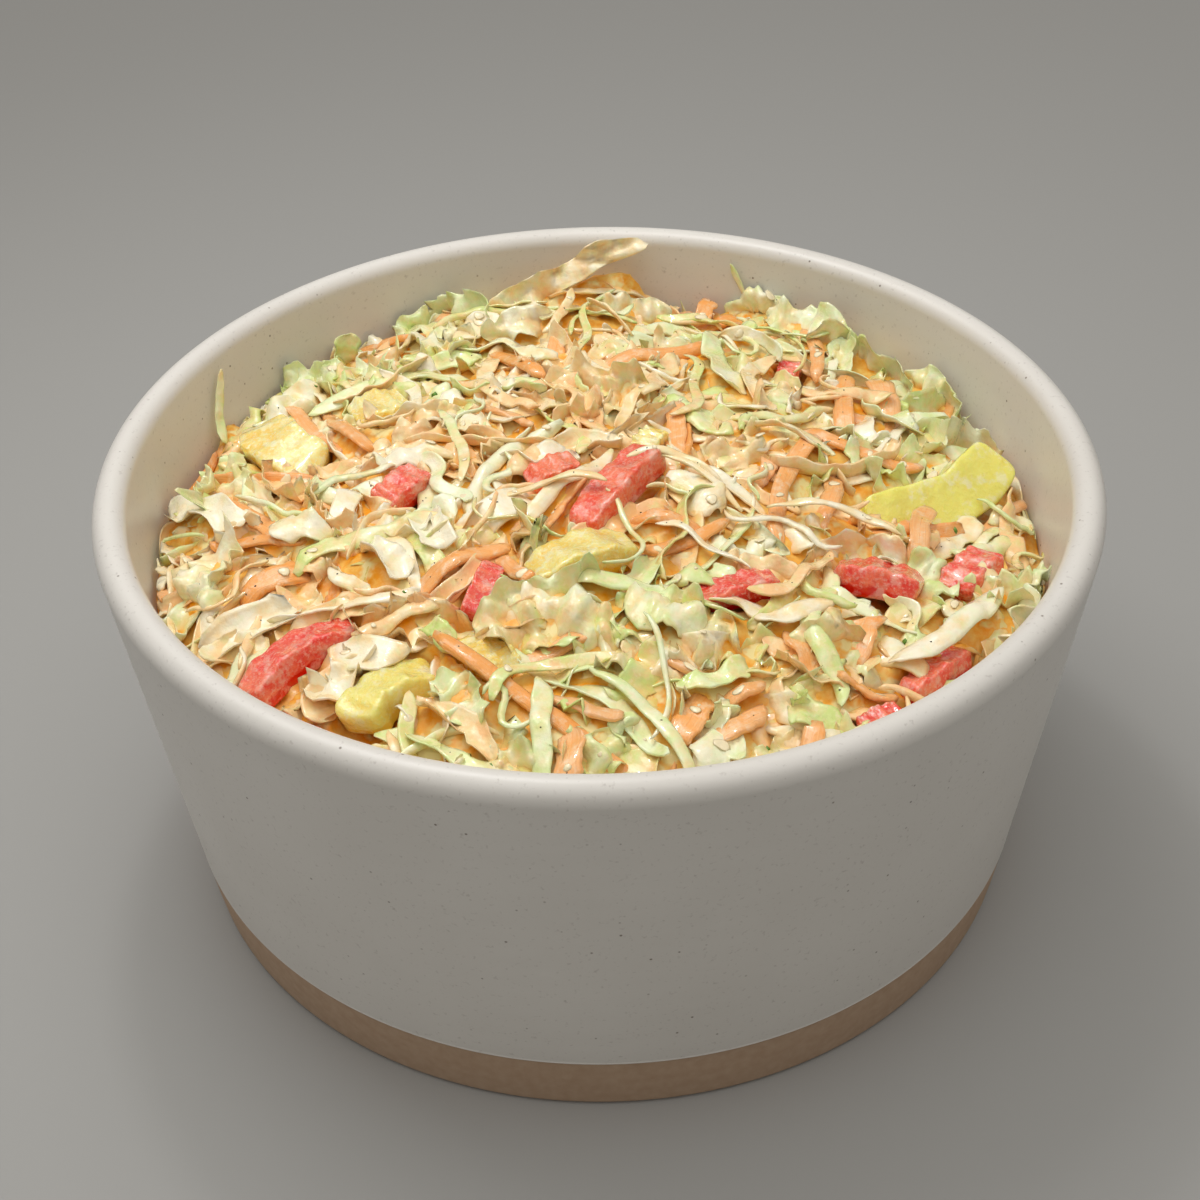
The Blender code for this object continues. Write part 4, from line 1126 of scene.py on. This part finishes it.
def makeCore(c):
    # The heap under the shreds: the core grid read on rings and closed down to the bowl's floor
    turn = np.linspace(0, 2 * np.pi, c["segments"], endpoint=False)
    radius = (innerRadius(c["edgeTop"]) - c["wallGap"]) * np.sqrt(np.linspace(1, 0.0004, c["rings"]))
    x, y = radius[:, None] * np.cos(turn), radius[:, None] * np.sin(turn)
    i, j = cellOf(x, y)
    relief = crumple(np.stack([gridX, gridY, 0 * gridX], 2), 0.4, fineWaves)
    bare = bareCore(gridX, gridY) - c["belowBare"]
    filled = np.maximum(levelGrid - c["belowLevel"], bare) + c["relief"] * relief
    filled = blurred(np.where(guard > 0, np.minimum(filled, coreGrid), filled), 1.0)
    top = np.where(guard[i, j] > 0, np.minimum(filled[i, j], coreGrid[i, j] - c["underPepper"]), filled[i, j])
    heights = np.array(c["sideHeights"])[:, None] + 0 * turn
    sideR = [*c["footRadii"], *(innerRadius(z) - c["wallGap"] for z in c["sideHeights"][3:])]
    sideR = np.array(sideR)[:, None]
    side = np.stack([sideR * np.cos(turn), sideR * np.sin(turn), heights], 2)
    points = np.concatenate([side, np.stack([x, y, top], 2)])
    dress(buildMesh("slawCore", points * mm, *tubeFaces(1, *points.shape[:2])), slawDepth(c), "slaw")


def slawDepth(c):
    # What lies between the top shreds: chopped cabbage in dressing, coloured saturated orange-yellow as painted
    # shade for the warm bounced light deep in the gaps.
    # It gives the eye wet orange-yellow gaps with paler patches.
    material, nodes, shader = newMaterial("slawDepthPaintedShade")
    coord = objectCoord(nodes)
    low, high, patch = c["colours"]
    colour = mixColours(nodes, mapped(nodes, noise(nodes, coord, 260.0, 4.0, 0.6), 0.35, 0.65), low, high)
    colour = mixColours(nodes, mapped(nodes, noise(nodes, coord, 150.0), 0.52, 0.6), colour, patch)
    setShader(shader, {"Base Color": colour, "Roughness": 0.3, "Specular IOR Level": 0.3})
    return material


# The main run

print("camera and light")
makeCamera(cameraSet)
makeLight(lightSet)
makeFloor(lightSet)

print("bowl")
makeBowl(bowl)

print("pepper")
makePeppers("red_pepper", redPieces, pepperFlesh("redBellPepper", redFlesh))
makePeppers("yellow_pepper", yellowPieces, pepperFlesh("yellowBellPepper", yellowFlesh))

print("shreds")
targetGrid = heapTop(gridX, gridY)
firstLayer = np.maximum(topGrid, targetGrid - heap["firstLayerBelow"])
topGrid = np.where(guard > 0, topGrid, firstLayer)
# The rounds in which the heap grows, with how many pieces each tries to lay. Those that
# start with "cover" bridge the gaps left between pieces; "heroes" are the placed pieces.
rounds = [
    ("frill", 40), ("sheet", 50), ("shred", 40), ("leaf", 10), ("carrot", 24), ("frill", 30), ("stalk", 16),
    ("shred", 40), ("sheet", 40), ("carrot", 20), ("coverfrill", 36), ("coversheet", 44), ("leafHeroes", 0),
    ("covershred", 56), ("coverleaf", 8), ("coverfrill", 24), ("covercarrot", 14), ("heroes", 0),
    ("coverstrand", 40), ("coversheet", 24), ("covershred", 26),
]
gathered = {key: [] for key in shredKinds}
for key, count in rounds:
    ceilingGrid = np.maximum(targetGrid, blurred(topGrid, heap["ceilingBlur"]))
    if key == "leafHeroes":
        gathered["leaf"].append(heroLeaves(leafHeroes, shredKinds["leaf"]))
        continue
    if key == "heroes":
        for name, pieces in (("carrot", carrotHeroes), ("stalk", chipHeroes), ("shred", cabbageHeroes)):
            gathered[name].append(heroBands(pieces, shredKinds[name], rng))
        for name, pieces in (("sheet", curvedSheets), ("frill", curvedFrills), ("shred", curvedShreds)):
            gathered[name].append(heroCurves(pieces, shredKinds[name]))
        continue
    aim = blurred(topGrid, heap["gapBlur"]) + heap["gapRise"] if key.startswith("cover") else targetGrid
    key = key.removeprefix("cover")
    courses, half, roll = scatter(shredKinds[key], count, rng, aim)
    green = np.zeros(len(half)) if key == "carrot" else greenAt(courses, rng)
    gathered[key].append((courses, half, roll, rng.random(len(half)), green * (0.3 if key == "stalk" else 1)))
levelGrid = blurred(topGrid, heap["levelBlur"])
cabbageMaterial = freshCabbage(cabbageColours)
carrotMaterial = freshCarrot(carrotColours)
for key, parts in gathered.items():
    laid = [np.concatenate(group) for group in zip(*parts)]
    dressing = (carrotMaterial, "carrot") if key == "carrot" else (cabbageMaterial, "cabbage")
    makeBands(f"{key}Bands", shredKinds[key], *laid, rng, *dressing)

print("core")
makeCore(core)

print("dressing")
spots = np.concatenate(topSpots)
for name, material in (
        ("dressingDrops", plainWet("creamyDressing", "#FDEDC4", 0.25, 0.4, 0.1)),
        ("pepperSpecks", plainWet("crackedBlackPepper", "#3A3020", 0.6, 0.0, 0.0)),
        ("herbFlakes", plainWet("choppedGreenHerb", "#5F8F2A", 0.45, 0.2, 0.2))):
    makeSprinkle(name, sprinkles[name], spots, rng, material)

inside = np.hypot(gridX, gridY) < 104
print("heap top over bare core", round(float((topGrid - bareCore(gridX, gridY))[inside].mean()), 2), "mm mean,",
      round(float(topGrid.max()), 1), "mm at most")
